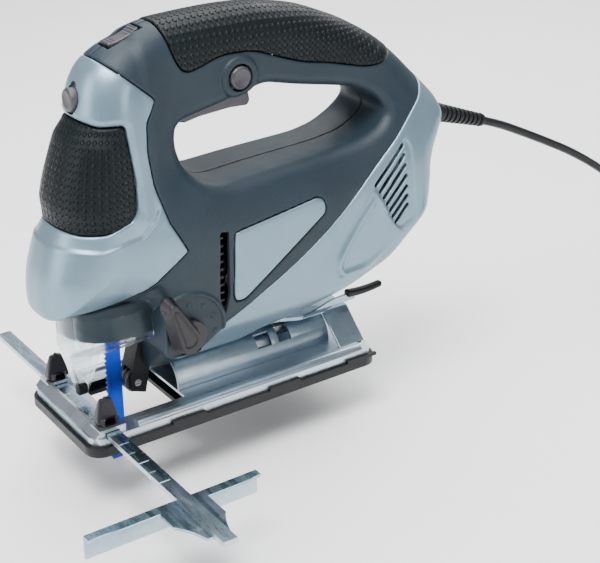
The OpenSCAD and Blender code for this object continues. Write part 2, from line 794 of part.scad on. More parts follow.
// Half-round saddle that the tool tilts on, with a window and a slot for the clamp screw
module base_saddle() {
    color([0.68, 0.73, 0.76]) difference() {
        rod_along_x(saddle_front, saddle_rear - 0.5, saddle_r, 0, tilt_z);
        rod_along_x(saddle_front - 1, saddle_rear + 1, saddle_r - 1.5, 0, tilt_z);
        block([-40, -20, -10], [90, 20, plate_top]);
        block([24, -20, 18], [33, -8, 24]);
        // slot across the top, so that the screw can swing with the tool
        block([clamp_x - 4, -14, 12], [clamp_x + 4, 14, 40]);
    }
}
// Folded bracket behind the saddle
module rear_bracket() {
    color([0.42, 0.47, 0.52]) difference() {
        front_slab([[-26, plate_top], [-9, 25.5], [9, 25.5], [26, plate_top]], saddle_rear, 88);
        front_slab([[-24, plate_top - eps], [-8.2, 24], [8.2, 24], [24, plate_top - eps]], saddle_rear - 1, 89);
    }
}
module guide_rod() {
    low = 8.6;
    top = 11.5;
    color([0.62, 0.7, 0.72]) difference() {
        block([rod_x - rod_w / 2, -144, low], [rod_x + rod_w / 2, 97, top]);
        block([rod_x - rod_w / 2 + 1, -143, low - 1], [rod_x + rod_w / 2 - 1, 96, top - 1]);
        // scale marks
        for (k = [0 : 11])
            block([rod_x - 3.7, -88 + 10 * k, top - 0.2], [rod_x + (k % 2 == 0 ? 2 : 0), -87.5 + 10 * k, top + 1]);
    }
}
// Fence: concave web under the rod with a flange turned down along its inner edge
module guide_fence() {
    mid = -81;
    web_z = 7.2;
    edge_y = -100;
    color([0.6, 0.68, 0.75]) {
        translate([0, 0, web_z]) linear_extrude(1.3) difference() {
            translate([mid - fence_l / 2, edge_y - 34]) square([fence_l, 34]);
            for (s = [-1, 1])
                translate([mid + 4 + s * 43, edge_y - 43]) circle(r = 38);
            translate([mid - fence_l / 2 - 1, edge_y - 40]) square([fence_l / 2 - 9, 34]);
            translate([mid + 16, edge_y - 40]) square([fence_l / 2, 34]);
        }
        translate([mid - fence_l / 2, edge_y - 1.3, web_z - 11]) cube([fence_l, 1.3, 11 + eps]);
    }
}
module thumb_screw() {
    // threaded end through the arm and the knurled, winged head
    translate([0, 0, 11.8]) cylinder(h = 3, r = 2.5);
    translate([0, 0, 13.9]) cylinder(h = 4, r = 5);
    hull() {
        translate([-6.3, -2.6, 15]) cube([12.6, 5.2, 6]);
        translate([-4.2, -1.3, 25]) cube([8.4, 2.6, 3.6]);
    }
}
module thumb_screw_left() {
    color([0.28, 0.23, 0.25]) translate([rod_x, -28, 0]) thumb_screw();
}
module thumb_screw_right() {
    color([0.28, 0.23, 0.25]) translate([rod_x, 28, 0]) thumb_screw();
}
// Screw that pulls the tool on to the saddle, and its square nut in the housing
module clamp_screw() {
    color([0.7, 0.7, 0.72]) {
        translate([clamp_x, 0, 19]) cylinder(h = 26, r = 2.5);
        intersection() {
            rod_along_x(clamp_x - 7, clamp_x + 7, saddle_r - 1.8, 0, tilt_z);
            block([clamp_x - 7, -6, 18], [clamp_x + 7, 6, 40]);
        }
    }
}
// Lever plate under the tool: flat round the screw, cranked up and out at its end
module bevel_lever() {
    color([0.66, 0.74, 0.78]) difference() {
        union() {
            translate([clamp_x, 0, 27.3]) cylinder(h = 2, r = 9);
            translate([0, 0, 27.3]) linear_extrude(2)
                polygon([[36, 6], [clamp_x, -9], [52, -13.6], [69, -13.6], [69, -8], [56, 2]]);
            intersection() {
                front_slab([[-13, 27.3], [-19.3, 33.6], [-19.3, 38], [-17.8, 38], [-17.8, 34], [-13, 29.3]], 54, 86);
                side_slab([[54, 27], [54, 30], [60, 34], [70, 37], [86, 38], [86, 33.5], [71, 33], [69, 27]], -30, 0);
            }
        }
        translate([clamp_x, 0, 20]) cylinder(h = 12, r = 2.5 + fit);
    }
}
module lever_grip() {
    color([0.08, 0.09, 0.09]) difference() {
        side_slab([[80, 34.8], [80, 40], [102, 40], [105, 38], [105, 36.5], [101, 34.8]], -21.3, -16);
        // pocket for the end of the lever plate
        block([79, -19.3, 30], [86, -17.8, 38]);
    }
}

// ---------- cord ----------

module strain_relief() {
    color([0.08, 0.09, 0.09]) translate(relief_start) rotate([0, 108, 0]) {
        cylinder(h = 20, r = 5.8);
        translate([0, 0, 19.9]) cylinder(h = 34, r1 = 5.8, r2 = 4.2);
        translate([0, 0, 53.8]) cylinder(h = 5, r1 = 4.2, r2 = 2.9);
    }
}
module mains_cord() {
    color([0.08, 0.09, 0.09]) {
        swept_tube(smooth_route(cord_route, 2), cord_d / 2, 8);
        swept_tube(smooth_route(tail_route, 2), cord_d / 2, 8);
    }
}
module cord_coil() {
    color([0.08, 0.09, 0.09]) translate([coil_c[0], coil_c[1], floor_z]) rotate_extrude()
        translate([coil_r - coil_w / 2, 0]) square([coil_w, coil_h]);
}
// Band round the coil's far side
module cord_tie() {
    color([0.15, 0.15, 0.16]) translate([coil_c[0], coil_c[1] + coil_r, floor_z]) difference() {
        block([-5, -coil_w / 2 - 3, 0], [5, coil_w / 2 + 3.5, coil_h + 1]);
        translate([0, -coil_r, -1]) difference() {
            cylinder(h = coil_h + 1.02, r = coil_r + coil_w / 2 + 0.02);
            translate([0, 0, -1]) cylinder(h = coil_h + 4, r = coil_r - coil_w / 2 - 0.02);
        }
    }
}
// Contour plug lying on the surface: body, gland towards the coil, two pins
module mains_plug() {
    color([0.09, 0.1, 0.1]) translate([plug_x, 0, floor_z]) {
        translate([-12.9, -140, 0]) cube([25.8, 36, 26]);
        rod_along_y(-104.1, -91, 5, 0, 13);
        for (x = [-9.5, 9.5]) rod_along_y(-159, -139.9, 2.4, x, 13);
    }
}

housing_left();
housing_right();
front_cover();
front_grip();
handle_grip();
rear_cover_left();
rear_cover_right();
side_panel_left();
side_panel_right();
housing_screws();
trigger();
trigger_spring();
switch_module();
lock_on_button();
lock_spring();
front_button();
rocker_switch();
orbit_knob();
orbit_cam();
chip_guard();
saw_blade();
blade_clamp();
plunger();
plunger_bushes();
gear_case();
drive_gear();
gear_shaft();
gear_bearing();
pinion();
armature_shaft();
armature_core();
commutator();
cooling_fan();
front_bearing();
rear_bearing();
field_core();
field_coils();
brush_holders();
carbon_brushes();
brush_springs();
guide_roller();
roller_fork();
roller_pin();
base_plate();
base_shoe();
base_saddle();
rear_bracket();
clamp_screw();
bevel_lever();
lever_grip();
thumb_screw_left();
thumb_screw_right();
guide_rod();
guide_fence();
strain_relief();
mains_cord();
cord_coil();
cord_tie();
mains_plug();
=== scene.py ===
import json
import math
import bpy
import bmesh
import numpy as np
from mathutils import Vector, Matrix


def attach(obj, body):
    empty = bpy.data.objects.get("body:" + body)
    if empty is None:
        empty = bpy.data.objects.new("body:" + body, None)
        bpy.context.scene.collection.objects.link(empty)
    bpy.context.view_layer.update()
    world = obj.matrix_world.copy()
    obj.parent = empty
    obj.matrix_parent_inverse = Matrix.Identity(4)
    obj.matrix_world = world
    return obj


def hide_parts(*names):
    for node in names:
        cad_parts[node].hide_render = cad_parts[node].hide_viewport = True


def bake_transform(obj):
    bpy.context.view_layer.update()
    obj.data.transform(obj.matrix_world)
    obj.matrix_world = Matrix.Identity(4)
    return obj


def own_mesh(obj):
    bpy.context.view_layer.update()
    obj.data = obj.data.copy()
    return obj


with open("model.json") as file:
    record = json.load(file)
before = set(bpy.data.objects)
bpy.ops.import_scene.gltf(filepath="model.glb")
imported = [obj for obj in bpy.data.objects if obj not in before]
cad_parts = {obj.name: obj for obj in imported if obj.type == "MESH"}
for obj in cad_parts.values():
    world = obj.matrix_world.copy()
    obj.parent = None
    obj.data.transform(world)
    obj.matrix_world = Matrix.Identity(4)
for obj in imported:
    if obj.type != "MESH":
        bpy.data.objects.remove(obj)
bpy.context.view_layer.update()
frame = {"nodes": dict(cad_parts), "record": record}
NODES = frame["nodes"]
MM = 0.001
FLOOR_Z = -0.030


# ---------------------------------------------------------------- camera

cam_data = bpy.data.cameras.new("camera")
cam_data.lens = 78.84
cam_data.sensor_width = 36.0
cam_data.clip_end = 20.0
camera = bpy.data.objects.new("camera", cam_data)
bpy.context.scene.collection.objects.link(camera)
back = Vector((-0.5225, -0.7385, 0.4261)).normalized()
right = Vector((0, 0, 1)).cross(back).normalized()
up = back.cross(right)
turn = Matrix((right, up, back)).transposed()
camera.matrix_world = Matrix.Translation(Vector((-0.3246, -0.5461, 0.3583))) @ turn.to_4x4()
bpy.context.scene.camera = camera


# ---------------------------------------------------------------- material helpers

def new_material(name):
    m = bpy.data.materials.new(name)
    m.use_nodes = True
    nt = m.node_tree
    return m, nt, nt.nodes["Principled BSDF"]


def coords(nt):
    return nt.nodes.new("ShaderNodeTexCoord").outputs["Object"]


def noise(nt, scale, detail=4.0, rough=0.55, vector=None):
    n = nt.nodes.new("ShaderNodeTexNoise")
    n.inputs["Scale"].default_value = scale
    n.inputs["Detail"].default_value = detail
    n.inputs["Roughness"].default_value = rough
    nt.links.new(vector if vector is not None else coords(nt), n.inputs["Vector"])
    return n.outputs["Fac"]


def remap(nt, value, a, b, lo, hi):
    n = nt.nodes.new("ShaderNodeMapRange")
    n.inputs["From Min"].default_value = a
    n.inputs["From Max"].default_value = b
    n.inputs["To Min"].default_value = lo
    n.inputs["To Max"].default_value = hi
    nt.links.new(value, n.inputs["Value"])
    return n.outputs["Result"]


def math_node(nt, op, a, b=None):
    n = nt.nodes.new("ShaderNodeMath")
    n.operation = op
    for i, v in enumerate((a, b)):
        if v is None:
            continue
        if isinstance(v, (int, float)):
            n.inputs[i].default_value = v
        else:
            nt.links.new(v, n.inputs[i])
    return n.outputs[0]


def mix_colour(nt, fac, a, b):
    n = nt.nodes.new("ShaderNodeMix")
    n.data_type = "RGBA"
    for name, v in (("Factor", fac), ("A", a), ("B", b)):
        socket = [s for s in n.inputs if s.name == name and (s.type == "RGBA" or name == "Factor")][0]
        if isinstance(v, (tuple, list)):
            socket.default_value = (*v[:3], 1.0)
        elif isinstance(v, (int, float)):
            socket.default_value = v
        else:
            nt.links.new(v, socket)
    return [s for s in n.outputs if s.type == "RGBA"][0]


def bump(nt, bsdf, height, strength, distance, previous=None):
    n = nt.nodes.new("ShaderNodeBump")
    n.inputs["Strength"].default_value = strength
    n.inputs["Distance"].default_value = distance
    nt.links.new(height, n.inputs["Height"])
    if previous is not None:
        nt.links.new(previous, n.inputs["Normal"])
    nt.links.new(n.outputs["Normal"], bsdf.inputs["Normal"])
    return n.outputs["Normal"]


def edge_wear(nt):
    """About 0 on flats and 1 on convex edges."""
    g = nt.nodes.new("ShaderNodeNewGeometry")
    return remap(nt, g.outputs["Pointiness"], 0.52, 0.60, 0.0, 1.0)


def moulded(name, colour, rough=0.42, grain=0.00018, variation=0.12, specular=0.5, coat=0.0, sparkle=0.0,
            flake=0.0):
    """Moulded plastic: fine spark-eroded grain, faint tone changes, dull handling marks."""
    m, nt, b = new_material(name)
    large = noise(nt, 22.0, 3.0)
    low = tuple(c * (1 - variation) for c in colour)
    high = tuple(min(1.0, c * (1 + variation)) for c in colour)
    base = mix_colour(nt, remap(nt, large, 0.35, 0.65, 0.0, 1.0), low, high)
    if sparkle:
        spark = remap(nt, noise(nt, 1500.0, 1.0), 0.60, 0.68, 0.0, sparkle)
        base = mix_colour(nt, spark, base, tuple(min(1.0, c * 2.2 + 0.08) for c in colour))
    worn = math_node(nt, "MULTIPLY", edge_wear(nt), 0.25)
    base = mix_colour(nt, worn, base, tuple(min(1.0, c * 1.35 + 0.02) for c in colour))
    nt.links.new(base, b.inputs["Base Color"])
    smudge = noise(nt, 60.0, 5.0, 0.6)
    nt.links.new(remap(nt, smudge, 0.3, 0.7, rough - 0.05, rough + 0.08), b.inputs["Roughness"])
    b.inputs["Specular IOR Level"].default_value = specular
    b.inputs["Coat Weight"].default_value = coat
    b.inputs["Metallic"].default_value = flake
    b.inputs["Coat Roughness"].default_value = 0.18
    bump(nt, b, noise(nt, 2600.0, 2.0, 0.5), 0.55, grain)
    return m


def dotted_rubber(name, colour, upright=False):
    """Soft rubber with rows of raised dots, spaced round the front column (upright) or round the handle."""
    m, nt, b = new_material(name)
    sep = nt.nodes.new("ShaderNodeSeparateXYZ")
    nt.links.new(coords(nt), sep.inputs[0])
    x, y, z = sep.outputs
    if upright:
        round_it = math_node(nt, "ARCTAN2", y, math_node(nt, "SUBTRACT", -0.046, x))
        across, along, radius = round_it, z, 0.034
    else:
        round_it = math_node(nt, "ARCTAN2", y, math_node(nt, "SUBTRACT", z, 0.183))
        across, along, radius = round_it, x, 0.019
    pitch = 0.0034
    w = 2 * math.pi / pitch
    turns = round(2 * math.pi * radius / pitch)
    a = math_node(nt, "COSINE", math_node(nt, "MULTIPLY", across, float(turns)))
    c = math_node(nt, "COSINE", math_node(nt, "MULTIPLY", along, w))
    lumps = math_node(nt, "ADD", a, c)
    dots = remap(nt, lumps, 0.1, 1.5, 0.0, 1.0)
    tone = remap(nt, noise(nt, 30.0, 3.0), 0.35, 0.65, 0.0, 1.0)
    base = mix_colour(nt, tone, tuple(v * 0.82 for v in colour), tuple(v * 1.2 for v in colour))
    # painted highlight: the raised dots get a lighter base colour, standing in for the light they catch
    painted_dot_highlight = math_node(nt, "MULTIPLY", dots, 0.5)
    base = mix_colour(nt, painted_dot_highlight, base, tuple(min(1, v * 1.8 + 0.003) for v in colour))
    base = mix_colour(nt, math_node(nt, "MULTIPLY", edge_wear(nt), 0.2), base, tuple(v * 1.8 for v in colour))
    nt.links.new(base, b.inputs["Base Color"])
    nt.links.new(remap(nt, noise(nt, 80.0, 4.0), 0.3, 0.7, 0.40, 0.58), b.inputs["Roughness"])
    b.inputs["Specular IOR Level"].default_value = 0.20
    first = bump(nt, b, noise(nt, 1900.0, 2.0), 0.35, 0.00010)
    bump(nt, b, dots, 1.0, 0.0013, first)
    return m


def metal(name, colour, rough=0.32, streak=(60.0, 60.0, 900.0), spangle=0.0, wear=0.3, tint=None):
    """Bare or plated metal with rolling or grinding streaks, and spangle on galvanised sheet."""
    m, nt, b = new_material(name)
    mapping = nt.nodes.new("ShaderNodeMapping")
    mapping.inputs["Scale"].default_value = streak
    nt.links.new(coords(nt), mapping.inputs["Vector"])
    lines = noise(nt, 1.0, 5.0, 0.6, mapping.outputs["Vector"])
    cloud = noise(nt, 35.0, 4.0, 0.6)
    base = mix_colour(nt, remap(nt, cloud, 0.35, 0.65, 0.0, 1.0), tuple(c * 0.84 for c in colour),
                      tuple(min(1.0, c * 1.12) for c in colour))
    if tint is not None:
        base = mix_colour(nt, remap(nt, noise(nt, 18.0, 2.0), 0.42, 0.6, 0.0, 0.8), base, tint)
    if spangle:
        v = nt.nodes.new("ShaderNodeTexVoronoi")
        v.inputs["Scale"].default_value = 130.0
        nt.links.new(coords(nt), v.inputs["Vector"])
        cell = nt.nodes.new("ShaderNodeSeparateColor")
        nt.links.new(v.outputs["Color"], cell.inputs[0])
        base = mix_colour(nt, math_node(nt, "MULTIPLY", cell.outputs[0], spangle), base,
                          tuple(min(1.0, c * 1.3) for c in colour))
    scratches = remap(nt, noise(nt, 240.0, 6.0, 0.75), 0.60, 0.72, 0.0, wear)
    base = mix_colour(nt, scratches, base, tuple(c * 0.55 for c in colour))
    base = mix_colour(nt, math_node(nt, "MULTIPLY", edge_wear(nt), 0.4), base, (0.85, 0.87, 0.9))
    nt.links.new(base, b.inputs["Base Color"])
    b.inputs["Metallic"].default_value = 1.0
    r = math_node(nt, "ADD", remap(nt, lines, 0.3, 0.7, rough - 0.07, rough + 0.10),
                  math_node(nt, "MULTIPLY", scratches, 0.2))
    nt.links.new(r, b.inputs["Roughness"])
    bump(nt, b, lines, 0.35, 0.00005)
    return m


def clear_plastic(name):
    """Clear polycarbonate with a few dull scratches."""
    m, nt, b = new_material(name)
    b.inputs["Base Color"].default_value = (0.90, 0.95, 0.97, 1)
    b.inputs["Transmission Weight"].default_value = 1.0
    b.inputs["IOR"].default_value = 1.35
    nt.links.new(remap(nt, noise(nt, 300.0, 6.0, 0.7), 0.55, 0.75, 0.04, 0.3), b.inputs["Roughness"])
    bump(nt, b, noise(nt, 90.0, 3.0), 0.25, 0.0002)
    clear = nt.nodes.new("ShaderNodeBsdfTransparent")
    clear.inputs["Color"].default_value = (0.93, 0.96, 0.97, 1)
    mix = nt.nodes.new("ShaderNodeMixShader")
    out = [n for n in nt.nodes if n.type == "OUTPUT_MATERIAL"][0]
    edge = nt.nodes.new("ShaderNodeLayerWeight")
    edge.inputs["Blend"].default_value = 0.35
    nt.links.new(remap(nt, edge.outputs["Facing"], 0.05, 0.85, 0.13, 0.95), mix.inputs[0])
    nt.links.new(clear.outputs[0], mix.inputs[1])
    nt.links.new(b.outputs[0], mix.inputs[2])
    nt.links.new(mix.outputs[0], out.inputs["Surface"])
    return m


GREY = moulded("housing_grey", (0.0125, 0.0235, 0.033), rough=0.46, sparkle=0.06, specular=0.29)
SILVER = moulded("silver_plastic", (0.175, 0.260, 0.320), rough=0.33, variation=0.03, grain=0.00004,
                 coat=0.12, sparkle=0.04, flake=0.6)
RUBBER_FRONT = dotted_rubber("grip_rubber_front", (0.0018, 0.0045, 0.0056), upright=True)
RUBBER = dotted_rubber("grip_rubber", (0.0018, 0.0045, 0.0056))
CONTROL = moulded("control_plastic", (0.036, 0.034, 0.044), rough=0.34, variation=0.10)
DARK_CONTROL = moulded("control_dark", (0.0055, 0.0032, 0.0058), rough=0.30, specular=0.4, variation=0.15)
BLACK = moulded("black_plastic", (0.0035, 0.0045, 0.0050), rough=0.42, specular=0.25)
CORD = moulded("cord_sheath", (0.004, 0.005, 0.006), rough=0.46, grain=0.0001, specular=0.28)
CLEAR = clear_plastic("clear_guard")
BLUE = metal("blade_blue", (0.015, 0.05, 0.42), rough=0.30, streak=(900.0, 60.0, 60.0), wear=0.15)
STEEL = metal("bright_steel", (0.62, 0.63, 0.65), rough=0.25)
DARK_STEEL = metal("dark_steel", (0.055, 0.06, 0.065), rough=0.38)
BRONZE = metal("bronze", (0.56, 0.40, 0.22), rough=0.4)
COPPER = metal("copper", (0.60, 0.27, 0.13), rough=0.35)
CAST = metal("cast_aluminium", (0.55, 0.56, 0.58), rough=0.45)
IRON = metal("core_steel", (0.22, 0.22, 0.23), rough=0.45, streak=(1800.0, 60.0, 60.0))
BASE = metal("base_steel", (0.26, 0.335, 0.385), rough=0.33, streak=(40.0, 500.0, 40.0), spangle=0.35,
             tint=(0.19, 0.29, 0.37))
GUIDE = metal("guide_zinc", (0.30, 0.42, 0.47), rough=0.26, streak=(300.0, 40.0, 40.0), spangle=0.2, wear=0.2,
              tint=(0.30, 0.34, 0.50))

MATERIAL_OF_SLOT = {
    "housing_grey": GREY, "silver_plastic": SILVER, "grip_rubber": RUBBER, "control_plastic": CONTROL,
    "clear_guard": CLEAR, "blade_blue": BLUE, "dark_steel": DARK_STEEL, "bright_steel": STEEL,
    "bronze": BRONZE, "cast_aluminium": CAST, "core_steel": IRON, "copper": COPPER, "black_plastic": BLACK,
    "carbon": BLACK, "base_steel": BASE, "guide_zinc": GUIDE, "cord_rubber": CORD,
}


# ---------------------------------------------------------------- mesh helpers

def add_piece(name, mesh, material, body, auto):
    """Link a smooth mesh, sharp where faces meet at over auto degrees, and let it ride on body."""
    obj = bpy.data.objects.new(name, mesh)
    bpy.context.scene.collection.objects.link(obj)
    mesh.materials.append(material)
    mesh.polygons.foreach_set("use_smooth", [True] * len(mesh.polygons))
    if auto:
        mesh.set_sharp_from_angle(angle=math.radians(auto))
    if body:
        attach(obj, body)
    return obj


def make_object(name, verts, faces, material, body, auto=35.0):
    mesh = bpy.data.meshes.new(name)
    mesh.from_pydata([tuple(v) for v in verts], [], [tuple(f) for f in faces])
    mesh.validate()
    mesh.update()
    return add_piece(name, mesh, material, body, auto)


def from_bmesh(name, bm, material, body, auto=35.0):
    bmesh.ops.recalc_face_normals(bm, faces=bm.faces)
    mesh = bpy.data.meshes.new(name)
    bm.to_mesh(mesh)
    bm.free()
    return add_piece(name, mesh, material, body, auto)


def tube(path, radius, sides):
    """Vertices and faces of a closed tube along path, with rings that don't twist."""
    p = np.array(path, float)
    t = np.gradient(p, axis=0)
    t /= np.linalg.norm(t, axis=1)[:, None]
    u = np.cross(t[0], (0.0, 0.0, 1.0))
    if np.linalg.norm(u) < 1e-6:
        u = np.array((1.0, 0.0, 0.0))
    verts = []
    ang = np.linspace(0, 2 * math.pi, sides, endpoint=False)
    for i in range(len(p)):
        u = u - t[i] * np.dot(u, t[i])
        u /= np.linalg.norm(u)
        w = np.cross(t[i], u)
        verts.append(p[i] + radius * (np.cos(ang)[:, None] * u + np.sin(ang)[:, None] * w))
    verts = np.concatenate(verts)
    faces = []
    for i in range(len(p) - 1):
        for k in range(sides):
            a, b = i * sides + k, i * sides + (k + 1) % sides
            faces.append((a, b, b + sides, a + sides))
    faces.append(tuple(range(sides))[::-1])
    faces.append(tuple(range((len(p) - 1) * sides, len(p) * sides)))
    return verts, faces


def catmull(points, steps):
    p = [Vector(q) for q in points]
    out = []
    for i in range(len(p) - 1):
        a, b, c, d = p[max(i - 1, 0)], p[i], p[i + 1], p[min(i + 2, len(p) - 1)]
        for s in range(steps):
            t = s / steps
            out.append(0.5 * (2 * b + (c - a) * t + (2 * a - 5 * b + 4 * c - d) * t * t
                              + (3 * b - 3 * c + d - a) * t * t * t))
    out.append(p[-1])
    return [tuple(q) for q in out]


def smooth_step(t):
    t = min(1.0, max(0.0, t))
    return t * t * (3 - 2 * t)


# ---------------------------------------------------------------- mains lead

# the route from the strain relief down to the coil, in millimetres
LEAD = [
    (193.3, 0, 113.2), (210, 0, 107), (230, 0, 98), (250, 0, 88.5), (270, 0, 78.5), (290, 0, 67),
    (308, 0, 55), (324, -1, 41), (337, -4, 26), (347, -9, 9), (353, -17, -7), (356, -29, -20),
    (356, -43, -26.5), (354, -58, -27.5),
]
# the coil: middle as X and Y, heights of its layers, and degrees of travel from start to end
COIL_C = (318.0, -66.0)
LEVELS = (-27.5, -22.45, -17.4, -12.35)
COIL_END = 3972.5
# (start of the move in degrees of travel, radius after it, level after it)
MOVES = [
    (290, 29, 0), (650, 24, 0), (965, 24, 1), (1280, 29, 1), (1640, 34, 1), (1955, 34, 2), (2270, 29, 2),
    (2630, 24, 2), (2945, 24, 3), (3260, 29, 3), (3620, 34, 3),
]


def coil_point(t):
    r, z = 34.0, LEVELS[0]
    for start, radius, level in MOVES:
        k = smooth_step((t - start) / 45.0)
        r += (radius - r) * k
        z += (LEVELS[level] - z) * k
    r += 2.9 * (1 - smooth_step(t / 60.0))
    phi = math.radians(12.53 - t)
    return (COIL_C[0] + r * math.cos(phi), COIL_C[1] + r * math.sin(phi), z)


def lead_path():
    points = catmull(LEAD, 6)[:-1]
    t = 0.0
    while t < COIL_END:
        points.append(coil_point(t))
        t += 9.0
    tail = [coil_point(COIL_END), (352, -74, -12.9), (352, -80, -14.3), (352, -86, -16.0), (352, -92.5, -16.95)]
    points += catmull(tail, 4)
    return np.array(points) * MM


lead = lead_path()
v, f = tube(lead, 0.0025, 16)
cord = make_object("mains_lead", v, f, CORD, None, auto=60.0)
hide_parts("mains_cord", "cord_coil")
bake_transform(cord)


def rounded_box(bm, low, high, r):
    """Adds a box with rounded edges to bm."""
    made = bmesh.ops.create_cube(bm, size=1.0)
    low, high = Vector(low), Vector(high)
    for vert in made["verts"]:
        vert.co = Vector(((vert.co[i] + 0.5) * (high[i] - low[i]) + low[i]) for i in range(3))
    edges = list({e for vert in made["verts"] for e in vert.link_edges})
    bmesh.ops.bevel(bm, geom=edges, offset=r, segments=3, affect="EDGES", profile=0.5, clamp_overlap=True)


def join_rings(bm, rings):
    """Adds the faces between each ring of vertices and the next."""
    for a, b in zip(rings, rings[1:]):
        for k in range(len(a)):
            n = (k + 1) % len(a)
            bm.faces.new((a[k], a[n], b[n], b[k]))


def revolve(bm, outline, centre, axis, segments):
    """Adds a closed solid of revolution: outline is (distance along axis, radius) pairs."""
    axis = Vector(axis).normalized()
    u = axis.orthogonal().normalized()
    w = axis.cross(u)
    rings = []
    for along, r in outline:
        ring = []
        for k in range(segments):
            a = 2 * math.pi * k / segments
            spoke = u * math.cos(a) + w * math.sin(a)
            ring.append(bm.verts.new(Vector(centre) + axis * along + spoke * r))
        rings.append(ring)
    join_rings(bm, rings)
    bm.faces.new(rings[0][::-1])
    bm.faces.new(rings[-1])


def make_plug():
    bm = bmesh.new()
    cx, cz = 0.352, -0.017
    # moulded body: stacked rounded sections along Y, waisted for the fingers
    sections = [
        (-0.0915, 0.0046, 0.0046), (-0.098, 0.0050, 0.0050), (-0.1035, 0.0062, 0.0062),
        (-0.108, 0.0098, 0.0098), (-0.114, 0.0119, 0.0120), (-0.120, 0.0112, 0.0121),
        (-0.126, 0.0114, 0.0123), (-0.132, 0.0126, 0.0127), (-0.137, 0.0128, 0.0128),
        (-0.1398, 0.0120, 0.0120),
    ]
    seg = 40
    rings = []
    for y, hx, hz in sections:
        n = 2.4 + 2.0 * smooth_step((hx - 0.006) / 0.006)
        ring = []
        for k in range(seg):
            a = 2 * math.pi * k / seg
            c, s = math.cos(a), math.sin(a)
            ring.append(bm.verts.new((cx + hx * math.copysign(abs(c) ** (2 / n), c), y,
                                      cz + hz * math.copysign(abs(s) ** (2 / n), s))))
        rings.append(ring)
    join_rings(bm, rings)
    bm.faces.new(rings[0])
    bm.faces.new(rings[-1][::-1])
    body = from_bmesh("plug_body", bm, BLACK, "base", auto=50.0)
    pins = bmesh.new()
    for dx in (-0.0095, 0.0095):
        revolve(pins, [(0.0, 0.0024), (0.0165, 0.0024), (0.0182, 0.0019), (0.0189, 0.0008)],
                (cx + dx, -0.1396, cz), (0, -1, 0), 24)
    pin_obj = from_bmesh("plug_pins", pins, STEEL, "base", auto=50.0)
    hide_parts("mains_plug")
    return [body, pin_obj]


def make_tie():
    bm = bmesh.new()
    x0, x1 = 0.3135, 0.3225
    cy, cz = -0.037, -0.0193
    outer = [(-0.0082, -0.0098), (0.0082, -0.0098), (0.0082, 0.0104), (-0.0082, 0.0104)]
    loop = []
    for i, (oy, oz) in enumerate(outer):
        cx0, cz0 = math.copysign(0.0052, oy), math.copysign(0.0070, oz)
        for k in range(7):
            a = math.radians({0: 180, 1: 270, 2: 0, 3: 90}[i] + 15 * k)
            loop.append((cx0 + 0.0031 * math.cos(a), cz0 + 0.0031 * math.sin(a)))
    rings = []
    for x, grow in ((x0, 0.0), (x0, 0.0009), (x1, 0.0009), (x1, 0.0)):
        ring = []
        for y, z in loop:
            d = math.hypot(y, z)
            ring.append(bm.verts.new((x, cy + y * (1 + grow / d), cz + z * (1 + grow / d))))
        rings.append(ring)
    join_rings(bm, rings + rings[:1])
    rounded_box(bm, (x0 + 0.001, cy + 0.0082, cz - 0.0035), (x1 - 0.001, cy + 0.0108, cz + 0.0035), 0.0008)
    tie = from_bmesh("coil_tie", bm, BLACK, "base")
    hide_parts("cord_tie")
    return tie


plug_parts = make_plug()
tie_part = make_tie()


# where the strain relief starts, in millimetres, and the way it points, both as X and Z
RELIEF_FOOT = (138.0, 131.2)
RELIEF_AXIS = (math.sin(math.radians(108)), math.cos(math.radians(108)))


def make_relief():
    """Tapered strain relief with flexing grooves round it."""
    axis = Vector((RELIEF_AXIS[0], 0, RELIEF_AXIS[1]))
    start = Vector((RELIEF_FOOT[0] * MM, 0, RELIEF_FOOT[1] * MM))
    outline = [(0.0, 0.0054), (0.0175, 0.0054), (0.0180, 0.0057), (0.0205, 0.0057), (0.0210, 0.0054)]
    n = 9
    for k in range(n):
        a = 0.0225 + 0.0037 * k
        r = 0.0054 - 0.00016 * k
        outline += [(a, r), (a + 0.0017, r - 0.0001), (a + 0.0018, r - 0.0010), (a + 0.0030, r - 0.0011),
                    (a + 0.0031, r - 0.0002)]
    outline += [(0.0562, 0.0041), (0.0580, 0.0037), (0.0586, 0.0031)]
    bm = bmesh.new()
    revolve(bm, outline, start, axis, 40)
    relief = from_bmesh("relief_sleeve", bm, CORD, "tool", auto=30.0)
    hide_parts("strain_relief")


make_relief()


# ---------------------------------------------------------------- distance fields for the housing
# Lengths in this part are in millimetres. A field is negative inside the solid.

STEP = 0.7
GX = np.arange(-100.5, 149.5, STEP, dtype=np.float32)
GZ = np.arange(20.0, 209.5, STEP, dtype=np.float32)
GY = -(np.arange(int(36.0 / STEP) + 1, dtype=np.float32)[::-1] + 0.5) * STEP
PX, PZ = np.meshgrid(GX, GZ, indexing="ij")


def fillet(points, r, closed=True):
    """Polygon with its corners rounded by a curve that starts r before each corner."""
    n = len(points)
    p = np.array(points, float)
    out = []
    for i in range(n):
        if not closed and i in (0, n - 1):
            out.append(p[i])
            continue
        a, b, c = p[i - 1], p[i], p[(i + 1) % n]
        la, lc = np.linalg.norm(a - b), np.linalg.norm(c - b)
        s = min(r, 0.48 * la, 0.48 * lc)
        u, w = b + (a - b) / la * s, b + (c - b) / lc * s
        for t in np.linspace(0, 1, 6):
            out.append((1 - t) ** 2 * u + 2 * t * (1 - t) * b + t * t * w)
    return np.array(out)


